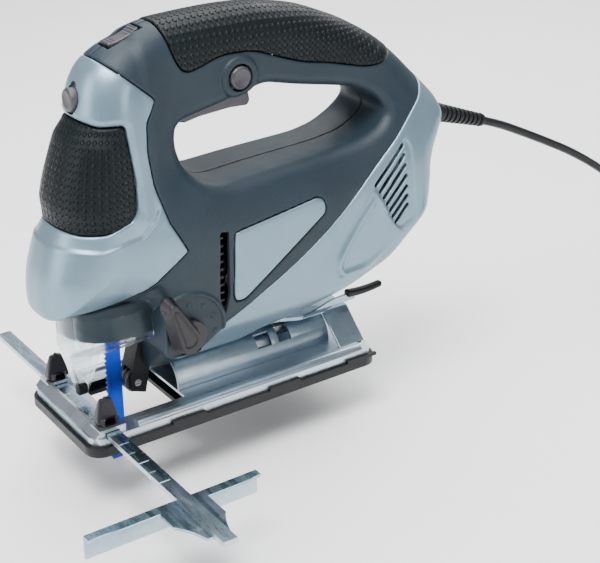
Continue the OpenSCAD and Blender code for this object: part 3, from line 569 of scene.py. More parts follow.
def polygon_field(points, px=PX, pz=PZ):
    """Signed distance of grid points to a closed polygon, negative inside."""
    best = np.full(px.shape, 1e9, np.float32)
    inside = np.zeros(px.shape, bool)
    n = len(points)
    for i in range(n):
        ax, az = points[i]
        bx, bz = points[(i + 1) % n]
        ex, ez = bx - ax, bz - az
        wx, wz = px - ax, pz - az
        l2 = ex * ex + ez * ez
        if l2 < 1e-12:
            continue
        t = np.clip((wx * ex + wz * ez) / l2, 0, 1)
        d = (wx - ex * t) ** 2 + (wz - ez * t) ** 2
        np.minimum(best, d, out=best)
        if abs(ez) > 1e-9:
            cross = (az > pz) != (bz > pz)
            inside ^= cross & (px < ax + (pz - az) * ex / ez)
    d = np.sqrt(best)
    return np.where(inside, -d, d).astype(np.float32)


def round_max(r, *fields):
    """Intersection of solids with edges rounded to radius r."""
    top = fields[0]
    total = np.square(np.maximum(fields[0] + r, 0))
    for f in fields[1:]:
        top = np.maximum(top, f)
        total = total + np.square(np.maximum(f + r, 0))
    return np.minimum(top + r, 0) + np.sqrt(total) - r


def ramp(v, a, b):
    t = np.clip((v - a) / (b - a), 0, 1)
    return t * t * (3 - 2 * t)


def up2(field):
    """A side-view field, ready to be combined with the whole grid."""
    return field[:, None, :]


# outlines in the side view, as X and Z
SIDE = [
    (-97.5, 67), (-98, 78), (-96.6, 90), (-93.4, 100), (-90, 110), (-88, 120), (-85, 134), (-80, 148),
    (-75.5, 160), (-72, 171), (-69.5, 181), (-64.5, 189.5), (-56, 196), (-43, 201), (-30, 205), (-10, 206.3),
    (10, 207), (30, 206.4), (58, 201.4), (82, 192), (103, 180.5), (120, 167.5), (136, 151), (143, 142.5),
    (146, 133), (141, 123), (134.5, 111), (134.5, 96), (133, 80), (127, 72.5), (104, 57.3), (76, 44.5),
    (58, 38.3), (38, 33.4), (24, 31.6), (14, 25.2), (-28, 25.2), (-31, 23.2), (-42.6, 24), (-43.6, 66),
    (-60, 66.2),
]
HAND = [
    (-20, 134), (-23, 146), (-22, 154), (-18, 157), (2, 161), (20, 165), (30, 167.5), (49, 163), (85, 156),
    (98, 149.5), (104, 141.5), (98, 134), (86, 128.5), (68, 126), (26, 124), (0, 122), (-12, 125),
]
SEAM = [
    (158, 172), (134, 154), (128.6, 149.4), (124, 144.4), (108.2, 130.4), (88.6, 114.2), (71.3, 99),
    (56.6, 86.6), (38.8, 74.8), (16.8, 62.6), (-6.1, 50.6), (-28, 38),
]
COVER_EDGE = [
    (-74, 212), (-66, 198), (-36, 172), (-42, 162), (-43, 149), (-41, 131), (-36, 112), (-28, 96.5),
    (-34, 92), (-46, 83.5), (-62, 74), (-82, 67.5), (-99, 65.5),
]
PAD = [
    (-104, 177), (-86, 174), (-78, 167.5), (-65, 162.4), (-54, 163), (-52.6, 149), (-51, 136), (-51.2, 121.4),
    (-54.6, 116.4), (-68, 112.5), (-80, 112.6), (-90, 115.5), (-104, 121),
]
GRIP = [
    (-31, 220), (-28, 206), (-24, 190), (-18, 180.5), (-8, 183), (3, 186.8), (21, 186.4), (33, 182),
    (51, 175.6), (68, 172.6), (80, 169.5), (92, 166.6), (103, 166.6), (111, 170.5), (119, 176), (124, 186),
    (124, 220),
]
PANEL = [
    (-1.2, 99.6), (50, 106.8), (54, 105.6), (55.6, 102), (55.2, 97.3), (4.4, 61.2), (-1.0, 61.2), (-2.4, 65),
]
RIB = [
    (89, 103.4), (83.1, 97), (77.3, 90.8), (71.6, 83.5), (65.9, 76), (61.9, 68.4), (61.2, 61.5), (66, 55.6),
    (83.2, 56.5), (104, 68), (112, 74), (104, 79), (97, 91),
]
REAR_FRAME = [(86.4, 104.8), (110.5, 127.6), (114.3, 122.2), (117.6, 80), (106, 75.6), (99.1, 82.7)]
FAN_SLOT = [(-9.6, 101.6), (-4.6, 101.2), (-5.0, 66), (-7.2, 55.8), (-10.6, 66), (-10.2, 84)]
# the inlet slots: radius of the slot, and its two ends as X and Z, then X and Z
INLET_R = 1.25
INLETS = [
    (89.6, 104.9, 108.4, 122.9), (92.3, 100.4, 108.9, 117.4), (94.9, 96.3, 109.4, 111.9),
    (97.3, 92.2, 110.1, 105.7), (99.7, 88.1, 110.5, 99.5), (101.7, 84.1, 111.0, 94.1),
    (103.8, 80.3, 111.4, 88.7),
]
# places on the side of the tool, as X and Z: the lock-on button, the dial and the case screws
LOCK_X, LOCK_Z = 13, 174
DIAL_X, DIAL_Z = -30.5, 52
SCREWS = [(-32, 176), (56, 168.5), (120, 150), (96, 118), (66, 47), (8, 42), (-24, 60), (26, 115.5)]

d_side = polygon_field(fillet(SIDE, 9.0))
d_hand = polygon_field(fillet(HAND, 5.0))
d_cover = polygon_field(np.concatenate([fillet(COVER_EDGE, 1.5, closed=False), [(-130, 65), (-130, 212)]]))
d_pad = polygon_field(fillet(PAD, 2.2))
d_grip = polygon_field(fillet(GRIP, 7.0))
d_rear = polygon_field(np.concatenate([fillet(SEAM, 12.0, closed=False), [(-26, 0), (180, 0), (180, 160)]]))
d_panel = polygon_field(fillet(PANEL, 2.4))
d_rib = polygon_field(fillet(RIB, 4.0))
d_rear_frame = polygon_field(fillet(REAR_FRAME, 3.0))

# half width of the body against height, for the column, the rear and the rest
W_REST = np.interp(GZ, (20, 28, 36, 46, 58, 72, 98, 106, 114, 122, 130, 138, 150, 210),
                   (12, 14.5, 22.5, 29.5, 32.4, 33, 33, 32.2, 29.8, 25.6, 21, 18.4, 17.5, 17.5))
W_COLUMN = np.interp(GZ, (20, 28, 36, 46, 60, 98, 106, 116, 128, 150, 172, 188, 200, 210),
                     (11, 13.5, 21.5, 29, 31.5, 31.5, 30.8, 28.8, 27.8, 26.4, 24, 20.6, 18, 17))
W_REAR = np.interp(GZ, (20, 28, 36, 46, 58, 72, 98, 112, 122, 130, 138, 146, 154, 162, 210),
                   (12, 14.5, 22.5, 29.5, 32.4, 33, 33, 32.4, 30.6, 28.2, 25, 22, 19.5, 18, 17.5))
kernel = np.hanning(int(13 / STEP) | 1)
kernel /= kernel.sum()


def soften(row):
    pad = len(kernel) // 2
    return np.convolve(np.pad(row, pad, mode="edge"), kernel, mode="valid")


W_REST, W_COLUMN, W_REAR = soften(W_REST), soften(W_COLUMN), soften(W_REAR)
at_front = ramp(-GX, 22, 52)[:, None]
width = W_REST[None, :] * (1 - at_front) + W_COLUMN[None, :] * at_front
at_rear = ramp(GX, 66, 108)[:, None]
width = width * (1 - at_rear) + W_REAR[None, :] * at_rear
# the grey housing steps in under the collar
under_collar = ramp(-PX, 40, 52) * ramp(-PZ, -92, -74) * ramp(d_cover, 0.2, 3.0)
width = width - under_collar * 3.5
rounding = 9.0 + 6.5 * ramp(GZ, 122, 150)[None, :]
rounding = rounding + (width * 0.93 - rounding) * ramp(-GX, 34, 62)[:, None]
rounding = rounding + (15.0 - rounding) * ramp(GX, 98, 126)[:, None] * ramp(-GZ, -150, -120)[None, :]
rounding = rounding + (6.0 - rounding) * ramp(-GZ, -44, -30)[None, :]
width = width.astype(np.float32)
rounding = rounding.astype(np.float32)

AY = -GY[None, :, None]
XX = GX[:, None, None]
ZZ = GZ[None, None, :]
body = round_max(up2(rounding), up2(d_side), AY - up2(width))
# column narrows a little above the collar, with a soft step
collar_line = np.interp(GX, (-104, -88, -72, -52, -45, -38), (108, 105.5, 104, 107.5, 113, 122))[:, None]
above = ramp(PZ - collar_line, 0.0, 2.2) * ramp(-PX, 38, 44)
body = body + up2((1.1 * above).astype(np.float32))
# snout below the collar
snout_plan = np.where(XX < -62, np.hypot(XX + 62, AY), AY) - 21.5
snout = round_max(1.2, snout_plan, 52.2 - ZZ, ZZ - 72.0, XX + 42.0)
grey_body = np.minimum(body, snout)
# the seat on the saddle
seat = 16.6 - np.hypot(AY, ZZ - 10.5)
grey_body = round_max(0.8, grey_body, np.where(XX > -28.4, seat, -9.0).astype(np.float32))
hand = -up2(d_hand)
body = round_max(6.0, body, hand)
grey_body = round_max(6.0, grey_body, hand)


def tapered_bar(x, z, ax, az, ra, bx, bz, rb):
    """Side-view distance to a bar with round ends of radius ra and rb."""
    ex, ez = bx - ax, bz - az
    t = np.clip(((x - ax) * ex + (z - az) * ez) / (ex * ex + ez * ez), 0, 1)
    return np.hypot(x - ax - ex * t, z - az - ez * t) - (ra + (rb - ra) * t)


# through slots: the fan outlet, and the slanted inlets behind
outlet = polygon_field(fillet(FAN_SLOT, 1.2))
inlets = np.full(PX.shape, 99.0, np.float32)
for x0, z0, x1, z1 in INLETS:
    inlets = np.minimum(inlets, tapered_bar(PX, PZ, x0, z0, INLET_R, x1, z1, INLET_R))

WALL = 2.8
# the parting line takes GAP off each piece that meets it
GAP = 0.22


def shell(outer, base, extra=0.0):
    """Hollow the piece: keep a skin of WALL plus extra under the body's surface."""
    return np.maximum(outer, -(base + WALL + extra))


def surface_net(field, x0, y0, z0, step):
    """Quads of the field's zero surface; one vertex in each cell it passes through."""
    inside = field < 0
    nx, ny, nz = field.shape
    c = [inside[i:nx - 1 + i, j:ny - 1 + j, k:nz - 1 + k] for i in (0, 1) for j in (0, 1) for k in (0, 1)]
    count = np.zeros((nx - 1, ny - 1, nz - 1), np.uint8)
    for a in c:
        count += a
    cells = np.argwhere((count > 0) & (count < 8))
    index = np.full((nx - 1, ny - 1, nz - 1), -1, np.int32)
    index[cells[:, 0], cells[:, 1], cells[:, 2]] = np.arange(len(cells))
    offsets = np.array([(i, j, k) for i in (0, 1) for j in (0, 1) for k in (0, 1)])
    values = np.stack([field[cells[:, 0] + o[0], cells[:, 1] + o[1], cells[:, 2] + o[2]] for o in offsets], 1)
    total = np.zeros((len(cells), 3))
    hits = np.zeros(len(cells))
    for a in range(8):
        for b in range(a + 1, 8):
            if np.abs(offsets[a] - offsets[b]).sum() != 1:
                continue
            fa, fb = values[:, a], values[:, b]
            m = (fa < 0) != (fb < 0)
            t = np.where(m, fa / np.where(m, fa - fb, 1), 0)
            total += m[:, None] * (offsets[a] + t[:, None] * (offsets[b] - offsets[a]))
            hits += m
    verts = cells + total / hits[:, None]
    # pull each vertex on to the surface along the field's slope
    for _ in range(2):
        i = np.clip(verts.astype(int), 0, np.array(field.shape) - 2)
        f = verts - i
        v = [field[i[:, 0] + o[0], i[:, 1] + o[1], i[:, 2] + o[2]] for o in offsets]
        w = [(1 - f[:, axis], f[:, axis]) for axis in range(3)]
        value = sum(v[n] * w[0][o[0]] * w[1][o[1]] * w[2][o[2]] for n, o in enumerate(offsets))
        slopes = []
        for axis, p, q in ((0, 1, 2), (1, 0, 2), (2, 0, 1)):
            terms = [v[n] * (2 * o[axis] - 1) * w[p][o[p]] * w[q][o[q]] for n, o in enumerate(offsets)]
            slopes.append(sum(terms))
        g = np.stack(slopes, 1)
        move = -(value / np.maximum((g * g).sum(1), 1e-6))[:, None] * g
        size = np.linalg.norm(move, axis=1)[:, None]
        verts = verts + move * np.minimum(1, 0.4 / np.maximum(size, 1e-9))
    quads = []
    for axis in range(3):
        a = [slice(None)] * 3
        b = [slice(None)] * 3
        a[axis], b[axis] = slice(0, -1), slice(1, None)
        first, second = inside[tuple(a)], inside[tuple(b)]
        e = np.argwhere(first != second)
        o1, o2 = [n for n in range(3) if n != axis]
        for other in (o1, o2):
            e = e[(e[:, other] > 0) & (e[:, other] < field.shape[other] - 1)]
        flip = first[e[:, 0], e[:, 1], e[:, 2]]
        ring = []
        for d1, d2 in ((-1, -1), (0, -1), (0, 0), (-1, 0)):
            q = e.copy()
            q[:, o1] += d1
            q[:, o2] += d2
            ring.append(index[q[:, 0], q[:, 1], q[:, 2]])
        ring = np.stack(ring, 1)
        if axis == 1:
            flip = ~flip
        ring[~flip] = ring[~flip][:, ::-1]
        quads.append(ring)
    quads = np.concatenate(quads)
    quads = quads[(quads >= 0).all(1)]
    return verts * step + np.array((x0, y0, z0)), quads


def field_object(name, field, whole, material, nodes, mirror=False):
    """Mesh a field on the half grid.

    whole joins it with its mirror image; mirror makes the other side's piece.
    """
    solid = np.argwhere(field < 0.8)
    lo = np.maximum(solid.min(0) - 2, 0)
    hi = np.minimum(solid.max(0) + 3, field.shape)
    part = field[lo[0]:hi[0], lo[1]:hi[1], lo[2]:hi[2]]
    y0 = GY[lo[1]]
    if whole:
        part = np.concatenate([part, part[:, ::-1]], axis=1)
    part = np.pad(part, 1, constant_values=5.0)
    if whole and hi[1] != field.shape[1]:
        raise ValueError(name)
    verts, quads = surface_net(part, GX[lo[0]] - STEP, y0 - STEP, GZ[lo[2]] - STEP, STEP)
    if mirror:
        verts = verts * np.array((1, -1, 1))
        quads = quads[:, ::-1]
    quad_object(name, verts, quads, material, "tool", nodes)


def quad_object(name, verts, quads, material, body, nodes):
    mesh = bpy.data.meshes.new(name)
    mesh.vertices.add(len(verts))
    mesh.vertices.foreach_set("co", (verts * MM).astype(np.float32).ravel())
    mesh.loops.add(quads.size)
    mesh.loops.foreach_set("vertex_index", quads.astype(np.int32).ravel())
    mesh.polygons.add(len(quads))
    mesh.polygons.foreach_set("loop_start", np.arange(0, quads.size, 4, dtype=np.int32))
    mesh.update(calc_edges=True)
    mesh.validate()
    obj = add_piece(name, mesh, material, body, None)
    if nodes:
        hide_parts(*nodes)


def sculpt(name, low, high, step, build, material, body, nodes, mirror=False):
    """Mesh a small piece from its own distance field; low and high are the corners of its grid."""
    axes = [np.arange(a - step, b + 1.5 * step, step) for a, b in zip(low, high)]
    x, y, z = axes[0][:, None, None], axes[1][None, :, None], axes[2][None, None, :]
    shape = (len(axes[0]), len(axes[1]), len(axes[2]))
    field = np.broadcast_to(build(x, y, z), shape).astype(np.float32).copy()
    verts, quads = surface_net(field, axes[0][0], axes[1][0], axes[2][0], step)
    if mirror:
        verts = verts * np.array((1, -1, 1))
        quads = quads[:, ::-1]
    quad_object(name, verts, quads, material, body, nodes)


def side_profile(points, x, z, r):
    """Field of a side-view outline for arrays made by sculpt."""
    px, pz = np.broadcast_arrays(x[:, 0, :], z[:, 0, :])
    return polygon_field(fillet(points, r), px, pz)[:, None, :]


# ---- cuts shared by the pieces
def rocker_axes(x, z):
    """Distances along the rocker's sloping face and out of it, from its middle."""
    slope = math.radians(20.0)
    c, s = math.cos(slope), math.sin(slope)
    dx, dz = x + 42.0, z - 198.0
    return dx * c + dz * s, dz * c - dx * s


ru, rw = rocker_axes(XX, ZZ)
rocker_pocket = -round_max(0.6, np.abs(ru) - 9.9, AY - 5.7, -rw - 12.0)
trigger_side = np.maximum(np.abs(PX - 4.0) - 23.2, np.abs(PZ - 163.0) - 13.0)
trigger_slot = -np.maximum(up2(trigger_side), AY - 10.6)
front_bore = np.where(XX < -60, 6.7 - np.hypot(AY, ZZ - 173.0), -9.0)
from_foot = (XX - RELIEF_FOOT[0], ZZ - RELIEF_FOOT[1])
along = from_foot[0] * RELIEF_AXIS[0] + from_foot[1] * RELIEF_AXIS[1]
across = np.hypot(from_foot[0] * RELIEF_AXIS[1] - from_foot[1] * RELIEF_AXIS[0], AY)
relief_bore = np.where(along > -14, 5.9 - across, -9.0)
relief_boss = round_max(2.0, across - 9.4, along - 4.5, -along - 20.0)
middle = 0.12 - AY

# X and Z of each case screw, and how far out the housing's skin is there
SCREW_SKIN = []
for x, z in SCREWS:
    column = grey_body[np.abs(GX - x).argmin(), :, np.abs(GZ - z).argmin()]
    SCREW_SKIN.append((x, z, float(-GY[column < 0].min()) if (column < 0).any() else 16.0))


def screw_holes(f):
    """Cuts the sunk seats of the case screws."""
    depth, radius = 3.2, 3.4
    for x, z, skin in SCREW_SKIN:
        f = np.maximum(f, np.where(AY > skin - depth, up2(radius - np.hypot(PX - x, PZ - z)), -9.0))
    return f


def grey_half(left):
    f = grey_body + 0.15
    base = grey_body
    if left:
        # raised ring round the lock-on button
        ring = np.hypot(PX - LOCK_X, PZ - LOCK_Z)
        f = f - up2((1.6 * (1 - ramp(ring, 9.8, 11.2))).astype(np.float32))
        # the dial plate stands out of the side, with a rim and marks for the four settings
        plate = np.hypot(PX - DIAL_X, PZ - DIAL_Z)
        outline = round_max(3.0, plate - 22.4, 39.6 - PZ - 0.12 * (PX + 30), -44.2 - PX)
        boss = round_max(1.0, up2(outline), AY - 34.0, 17.0 - AY)
        f = np.minimum(f, boss)
        base = np.minimum(base, boss)
        dish = np.maximum(np.maximum(plate - 20.3, 41.4 - PZ), -42.6 - PX)
        f = round_max(0.3, f, -np.maximum(up2(dish), 33.1 - AY))
        for k, size in enumerate((1.0, 1.25, 1.5, 1.75)):
            a = math.radians(88 - 33 * k)
            dot = np.hypot(PX - DIAL_X - 16.0 * math.cos(a), PZ - DIAL_Z - 16.0 * math.sin(a)) - size
            f = np.minimum(f, round_max(0.3, up2(dot), AY - 33.7, 31.0 - AY))
    # shallow seat of the side panel
    f = np.maximum(f, np.where(up2(d_panel) < 0.35, base + 1.6, -9.0))
    f = round_max(0.5, f, GAP - up2(d_cover), GAP - up2(d_rear), GAP - up2(d_grip), 0.06 - AY)
    f = shell(f, base)
    # the way through the snout for the plunger and the blade clamp
    f = np.maximum(f, -round_max(2.5, np.abs(XX + 57.5) - 10.4, AY - 13.4, ZZ - 79.0))
    f = np.maximum(f, up2(-outlet))
    f = np.maximum(f, trigger_slot)
    f = np.maximum(f, rocker_pocket)
    if left:
        return np.maximum(f, up2(6.9 - ring))
    return screw_holes(f)


def rear_half(left):
    base = np.minimum(grey_body, np.where(up2(d_rear) < 6, relief_boss, 9.0))
    # a raised round-edged rib that fades towards the rear, and the sunk frame of the inlets
    fade = 1 - ramp(PX, 74, 104) * (PZ < 88)
    ridge = np.exp(-np.square((d_rib + 2.6) / 2.1)) * fade + 0.35 * ramp(-d_rib, 0.0, 3.0)
    f = base - up2((1.7 * ridge).astype(np.float32))
    f = f + up2((0.8 * ramp(-d_rear_frame, 0.0, 1.0)).astype(np.float32))
    f = round_max(0.8, f, up2(d_rear) + GAP, middle)
    f = shell(f, base)
    f = np.maximum(f, -up2(inlets))
    f = np.maximum(f, relief_bore)
    return f if left else screw_holes(f)


# the cover slopes down to the pad all round it, and more widely above the collar
slope_w = 3.2 + 3.6 * ramp(-PZ, -124, -114)
slope = (1.9 * (1 - np.clip(d_pad / slope_w, 0, 1))).astype(np.float32)
swell = (-1.5 + 2.6 * ramp(-d_pad, 0.0, 12.0)).astype(np.float32)


def cover_field():
    f = round_max(0.9, body + up2(slope), up2(d_cover) + 0.18, up2(-d_pad) + 0.3, 66.0 - ZZ)
    f = shell(f, body, 1.0)
    # a small rounded notch above the front button
    notch = np.where(XX < -55, 2.2 - np.hypot(AY * 0.8, ZZ - 179.4), -9.0)
    f = np.maximum(f, np.minimum(notch, body + 2.2))
    return np.maximum(f, front_bore)


def pad_field():
    f = round_max(1.0, body - up2(swell), up2(d_pad) + 0.3)
    return shell(f, body, 2.2)


def grip_field():
    f = round_max(0.9, body - 0.3, up2(d_grip) + 0.2)
    return shell(f, body)


def panel_field():
    f = round_max(1.0, body - 0.25, up2(d_panel) + 0.25)
    f = np.maximum(f, -(body + 1.3))
    return np.maximum(f, 20.0 - AY)


def field_pair(name, build, material, node):
    """The left and right pieces of a pair; build is told whether it makes the left one."""
    for side in ("left", "right"):
        field = build(side == "left")
        nodes = [f"{node}_{side}"]
        field_object(f"{name}_{side}", field, False, material, nodes, mirror=side == "right")


field_pair("shell_grey", grey_half, GREY, "housing")
field_pair("shell_rear", rear_half, SILVER, "rear_cover")
field_object("cover_front", cover_field(), True, SILVER, ["front_cover"])
field_object("pad_front", pad_field(), True, RUBBER_FRONT, ["front_grip"])
field_object("pad_handle", grip_field(), True, RUBBER, ["handle_grip"])
field_object("panel_left", panel_field(), False, SILVER, ["side_panel_left"])
field_object("panel_right", panel_field(), False, SILVER, ["side_panel_right"], mirror=True)


# the casting round the gears: kept clear of the skin, open below and behind
casting = round_max(4.0, np.abs(XX + 43.0) - 22.6, AY - 24.8, np.abs(ZZ - 101.0) - 36.0)
casting = np.maximum(casting, np.minimum(body, snout) + WALL + 1.2)
cavity = round_max(3.0, np.maximum(-62.8 - XX, XX + 10.0), AY - 22.3, np.maximum(ZZ - 134.4, 20.0 - ZZ))
clamp_way = round_max(3.0, np.abs(XX + 57.5) - 9.4, AY - 12.2, ZZ - 81.0)
casting = np.maximum(casting, -np.minimum(cavity, clamp_way))
field_object("gear_casting", casting, True, CAST, ["gear_case"])


def fan_grille(x, y, z):
    bars = np.abs((z + 0.6 * y) % 4.3 - 2.15) - 0.75
    bars = round_max(0.3, np.maximum(bars, x + 6.6), np.abs(y + 28.6) - 1.9)
    rail = round_max(0.4, np.abs(x + 10.4) - 1.0, np.abs(y + 28.6) - 2.0)
    return np.maximum(np.minimum(bars, rail), np.abs(z - 78.5) - 24.5)


sculpt("fan_grille", (-12, -31, 53), (-5, -26, 104), 0.4, fan_grille, DARK_CONTROL, "tool",
       [])


# ---------------------------------------------------------------- controls

def trigger_shape(x, y, z):
    outline = [(-18, 154.6), (-17, 160), (-13, 164), (2, 167), (22.6, 167), (24.4, 158.4), (22.8, 155.9),
               (12, 156.4), (-6, 155.0), (-14, 153.4)]
    f = round_max(1.5, side_profile(outline, x, z, 1.2), np.abs(y) - 9.8)
    shoulder = np.maximum(np.maximum(4.6 - x, 163.3 - z), y + 6.4)
    spring_hollow = np.maximum(np.hypot(x - 14, y) - 4.0, 160.0 - z)
    return np.maximum(f, -np.minimum(shoulder, spring_hollow))


def rocker_shape(x, y, z):
    u, w = rocker_axes(x, z)
    top = w - (1.5 + 1.3 * (u / 8.6) ** 2)
    ribs = 0.16 * np.clip(np.sin(u * 3.6) * 2.5, -1, 1) * (np.abs(np.abs(u) - 5.4) < 2.4)
    return round_max(0.8, top + ribs, np.abs(u) - 8.6, np.abs(y) - 4.5, -w - 5.0)


def knob_shape(x, y, z):
    disc = round_max(0.5, np.hypot(x + 31.2, z - 52.0) - 9.0, np.abs(y + 35.4) - 2.2)
    bar = tapered_bar(x, z, -35.2, 52.8, 8.3, -44.3, 73.4, 4.7)
    depth = np.abs(y + 40.2) - 4.2
    lever = round_max(2.2, bar, depth)
    # the sides of the grip draw in towards its top face
    lever = np.maximum(lever, bar + 0.30 * np.maximum(-y - 36.5, 0))
    groove = 0.7 - np.hypot(tapered_bar(x, z, -35.8, 54.2, 3.4, -43.2, 71.0, 1.4), y + 44.6)
    return np.maximum(np.minimum(disc, lever), groove)


def grip_shape(x, y, z):
    taper = 0.35 * np.clip((x - 80) / 25, 0, 1)
    centre = 37.2 + 0.9 * ((x - 92) / 12.0) ** 2
    width_field = np.abs(y + 18.7) - 2.5 + taper
    return round_max(1.5, np.abs(x - 92.4) - 12.4, width_field, np.abs(z - centre) - 2.1 + taper)


def thumb_shape(x, y, z):
    dx, dy = np.abs(x + 77.0), np.abs(y + 28.0)
    disc = round_max(0.7, np.hypot(dx, dy) - 5.1, np.abs(z - 15.9) - 2.0)
    t = np.clip((z - 16.0) / 12.0, 0, 1)
    wing = round_max(1.1, dx - (6.1 - 2.0 * t - 1.1 * t * t), dy - (2.7 - 1.3 * t), np.abs(z - 21.2) - 6.6)
    nib = round_max(0.4, np.hypot(dx, dy) - 0.9, np.abs(z - 27.0) - 1.6)
    shank = round_max(0.2, np.hypot(dx, dy) - 2.45, np.abs(z - 13.6) - 1.6)
    return np.minimum(np.minimum(disc, wing), np.minimum(nib, shank))


def foot_shape(x, y, z):
    return round_max(0.8, np.abs(x + 76.0) - 2.6, np.abs(y) - 2.1, np.abs(z - 20.0) - 3.0)


sculpt("guard_foot", (-79.5, -3, 16.5), (-72.5, 3, 24), 0.3, foot_shape, BLACK, "tool", [])
sculpt("trigger_pull", (-20, -11, 153), (26, 11, 172), 0.5, trigger_shape, CONTROL, "trigger",
       ["trigger"])
sculpt("rocker_key", (-54, -6, 189), (-30, 6, 206), 0.35, rocker_shape, CONTROL, "rocker",
       ["rocker_switch"])
sculpt("orbit_lever", (-50.5, -45, 42), (-21, -33, 79), 0.4, knob_shape, DARK_CONTROL, "orbit_selector",
       ["orbit_knob"])
sculpt("lever_sleeve", (79, -22, 34), (105.2, -15.6, 41), 0.4, grip_shape, BLACK, "lever",
       ["lever_grip"])
for side in ("left", "right"):
    sculpt(f"wing_{side}", (-84, -32, 11.5), (-70, -24, 29), 0.3, thumb_shape, DARK_CONTROL, f"screw_{side}",
           [f"thumb_screw_{side}"], mirror=side == "right")


def make_buttons():
    bm = bmesh.new()
    revolve(bm, [(-0.0020, 0.0029), (0.0001, 0.0029), (0.0002, 0.0057), (0.0006, 0.0060), (0.0080, 0.0060),
                 (0.0088, 0.0058), (0.0094, 0.0053), (0.0097, 0.0047), (0.0094, 0.0040), (0.0090, 0.0026),
                 (0.0088, 0.0002)], (LOCK_X * MM, -0.0103, LOCK_Z * MM), (0, -1, 0), 64)
    lock = from_bmesh("lock_key", bm, CONTROL, "lock_button", auto=45.0)
    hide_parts("lock_on_button")
    bm = bmesh.new()
    revolve(bm, [(0.0001, 0.0078), (0.0018, 0.0078), (0.0020, 0.0060), (0.0058, 0.0060), (0.0066, 0.0057),
                 (0.0071, 0.0051), (0.0073, 0.0044), (0.0070, 0.0035), (0.0067, 0.0002)],
            (-0.0649, 0.0, 0.173), (-1, 0, 0), 64)
    front = from_bmesh("front_key", bm, CONTROL, "front_button", auto=45.0)
    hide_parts("front_button")
    bm = bmesh.new()
    for x, z, skin in SCREW_SKIN:
        top = (skin - 1.3) * MM
        revolve(bm, [(-0.016, 0.0010), (-0.0155, 0.0014), (-0.0022, 0.0014), (-0.0021, 0.0028),
                     (-0.0004, 0.0031), (0.0, 0.0028), (0.0, 0.0015), (-0.0012, 0.0013), (-0.0012, 0.0001)],
                (x * MM, top, z * MM), (0, 1, 0), 36)
    screws = from_bmesh("case_screws", bm, DARK_STEEL, "tool", auto=30.0)
    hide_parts("housing_screws")


make_buttons()


def make_spring(name, node_name, foot, axis, length, radius, turns, wire):
    """A coil spring whose end turns lie flat."""
    axis = Vector(axis)
    u = axis.orthogonal().normalized()
    w = axis.cross(u)
    count = int(turns * 26)
    path = []
    for k in range(count + 1):
        t = k / count
        a = 2 * math.pi * turns * t
        rise = wire + (length - 2 * wire) * smooth_step(0.06 + 0.88 * t)
        path.append(Vector(foot) + axis * rise + (u * math.cos(a) + w * math.sin(a)) * radius)
    v, f = tube([tuple(q) for q in path], wire, 10)
    obj = make_object(name, v, f, STEEL, "tool", auto=60.0)
    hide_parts(node_name)
    return obj


spring = make_spring("trigger_return_spring", "trigger_spring", (0.014, 0, 0.1602), (0, 0, 1),
                     length=0.0116, radius=0.0026, turns=6, wire=0.00045)
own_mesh(spring)
spring = make_spring("lock_return_spring", "lock_spring", (0.013, -0.0078, 0.174), (0, 1, 0),
                     length=0.0052, radius=0.0023, turns=4, wire=0.00032)
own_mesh(spring)


# ---------------------------------------------------------------- CAD parts that keep their shape

SLOT_OF_NODE = {}
for entry in frame["record"].get("subparts", []):
    SLOT_OF_NODE[entry.get("node")] = entry.get("material_slot")

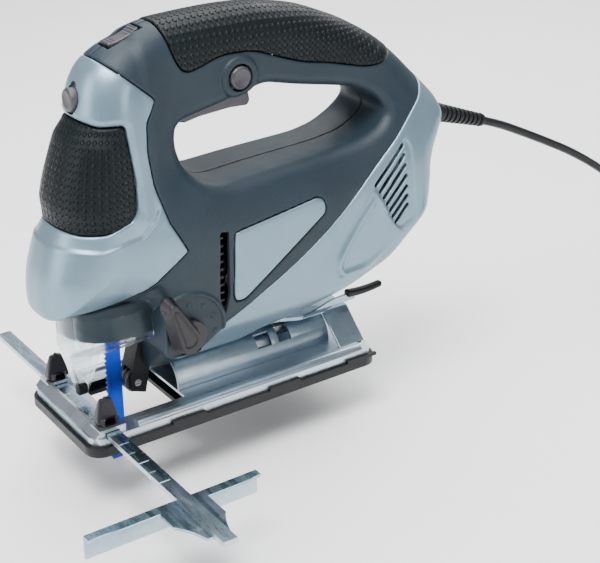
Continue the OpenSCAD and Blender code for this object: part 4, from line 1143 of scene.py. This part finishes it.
SOFT_EDGE = {
    "base_plate": 0.35, "base_shoe": 0.6, "base_saddle": 0.3, "rear_bracket": 0.3, "bevel_lever": 0.3,
    "guide_rod": 0.4, "guide_fence": 0.35, "roller_fork": 0.5, "guide_roller": 0.3,
    "blade_clamp": 0.4, "plunger": 0.3, "clamp_screw": 0.3, "switch_module": 0.6,
    "saw_blade": 0.12, "field_core": 0.4, "cooling_fan": 0.3, "orbit_cam": 0.3,
}
for node_name, node in NODES.items():
    finish = MATERIAL_OF_SLOT.get(SLOT_OF_NODE.get(node_name), BLACK)
    if node.material_slots:
        for s in node.material_slots:
            s.material = finish
    else:
        node.data.materials.append(finish)
    if node_name in SOFT_EDGE:
        weld = node.modifiers.new("weld", "WELD")
        weld.merge_threshold = 0.000002
        soft = node.modifiers.new("soft_edge", "BEVEL")
        soft.width = SOFT_EDGE[node_name] * MM
        soft.segments = 2
        soft.limit_method = "ANGLE"
        soft.angle_limit = math.radians(32)
        soft.harden_normals = False


# ---------------------------------------------------------------- floor, lights and world

def make_floor():
    bm = bmesh.new()
    bmesh.ops.create_grid(bm, x_segments=8, y_segments=8, size=4.0)
    mesh = bpy.data.meshes.new("floor")
    bm.to_mesh(mesh)
    bm.free()
    obj = bpy.data.objects.new("floor", mesh)
    obj.location = (0, 0, FLOOR_Z)
    bpy.context.scene.collection.objects.link(obj)
    m, nt, b = new_material("floor")
    tone = remap(nt, noise(nt, 3.0, 3.0), 0.3, 0.7, 0.0, 1.0)
    nt.links.new(mix_colour(nt, tone, (0.89, 0.89, 0.89), (0.92, 0.92, 0.92)), b.inputs["Base Color"])
    b.inputs["Roughness"].default_value = 0.7
    mesh.materials.append(m)


def area_light(name, location, target, size, power, colour=(1, 1, 1), size_y=None):
    data = bpy.data.lights.new(name, "AREA")
    data.shape = "RECTANGLE"
    data.size = size
    data.size_y = size_y or size
    data.energy = power
    data.color = colour
    obj = bpy.data.objects.new(name, data)
    bpy.context.scene.collection.objects.link(obj)
    obj.location = location
    obj.rotation_euler = (Vector(target) - Vector(location)).to_track_quat("-Z", "Y").to_euler()


make_floor()
area_light("key", (-0.45, -0.35, 1.35), (0.0, 0, 0.08), 0.7, 34.0)
area_light("top", (0.45, 0.45, 1.4), (0.05, 0, 0.0), 1.5, 34.0)
area_light("left", (-1.3, 0.1, 0.55), (-0.05, 0, 0.1), 0.5, 9.0, size_y=1.1)
area_light("fill", (0.2, -1.4, 0.5), (0.02, 0, 0.08), 0.7, 5.0)
area_light("rear", (1.1, 0.7, 0.9), (0.05, 0, 0.1), 0.8, 8.0)
world = bpy.data.worlds.new("studio")
world.use_nodes = True
world.node_tree.nodes["Background"].inputs["Color"].default_value = (0.93, 0.95, 1.0, 1)
world.node_tree.nodes["Background"].inputs["Strength"].default_value = 0.42
bpy.context.scene.world = world
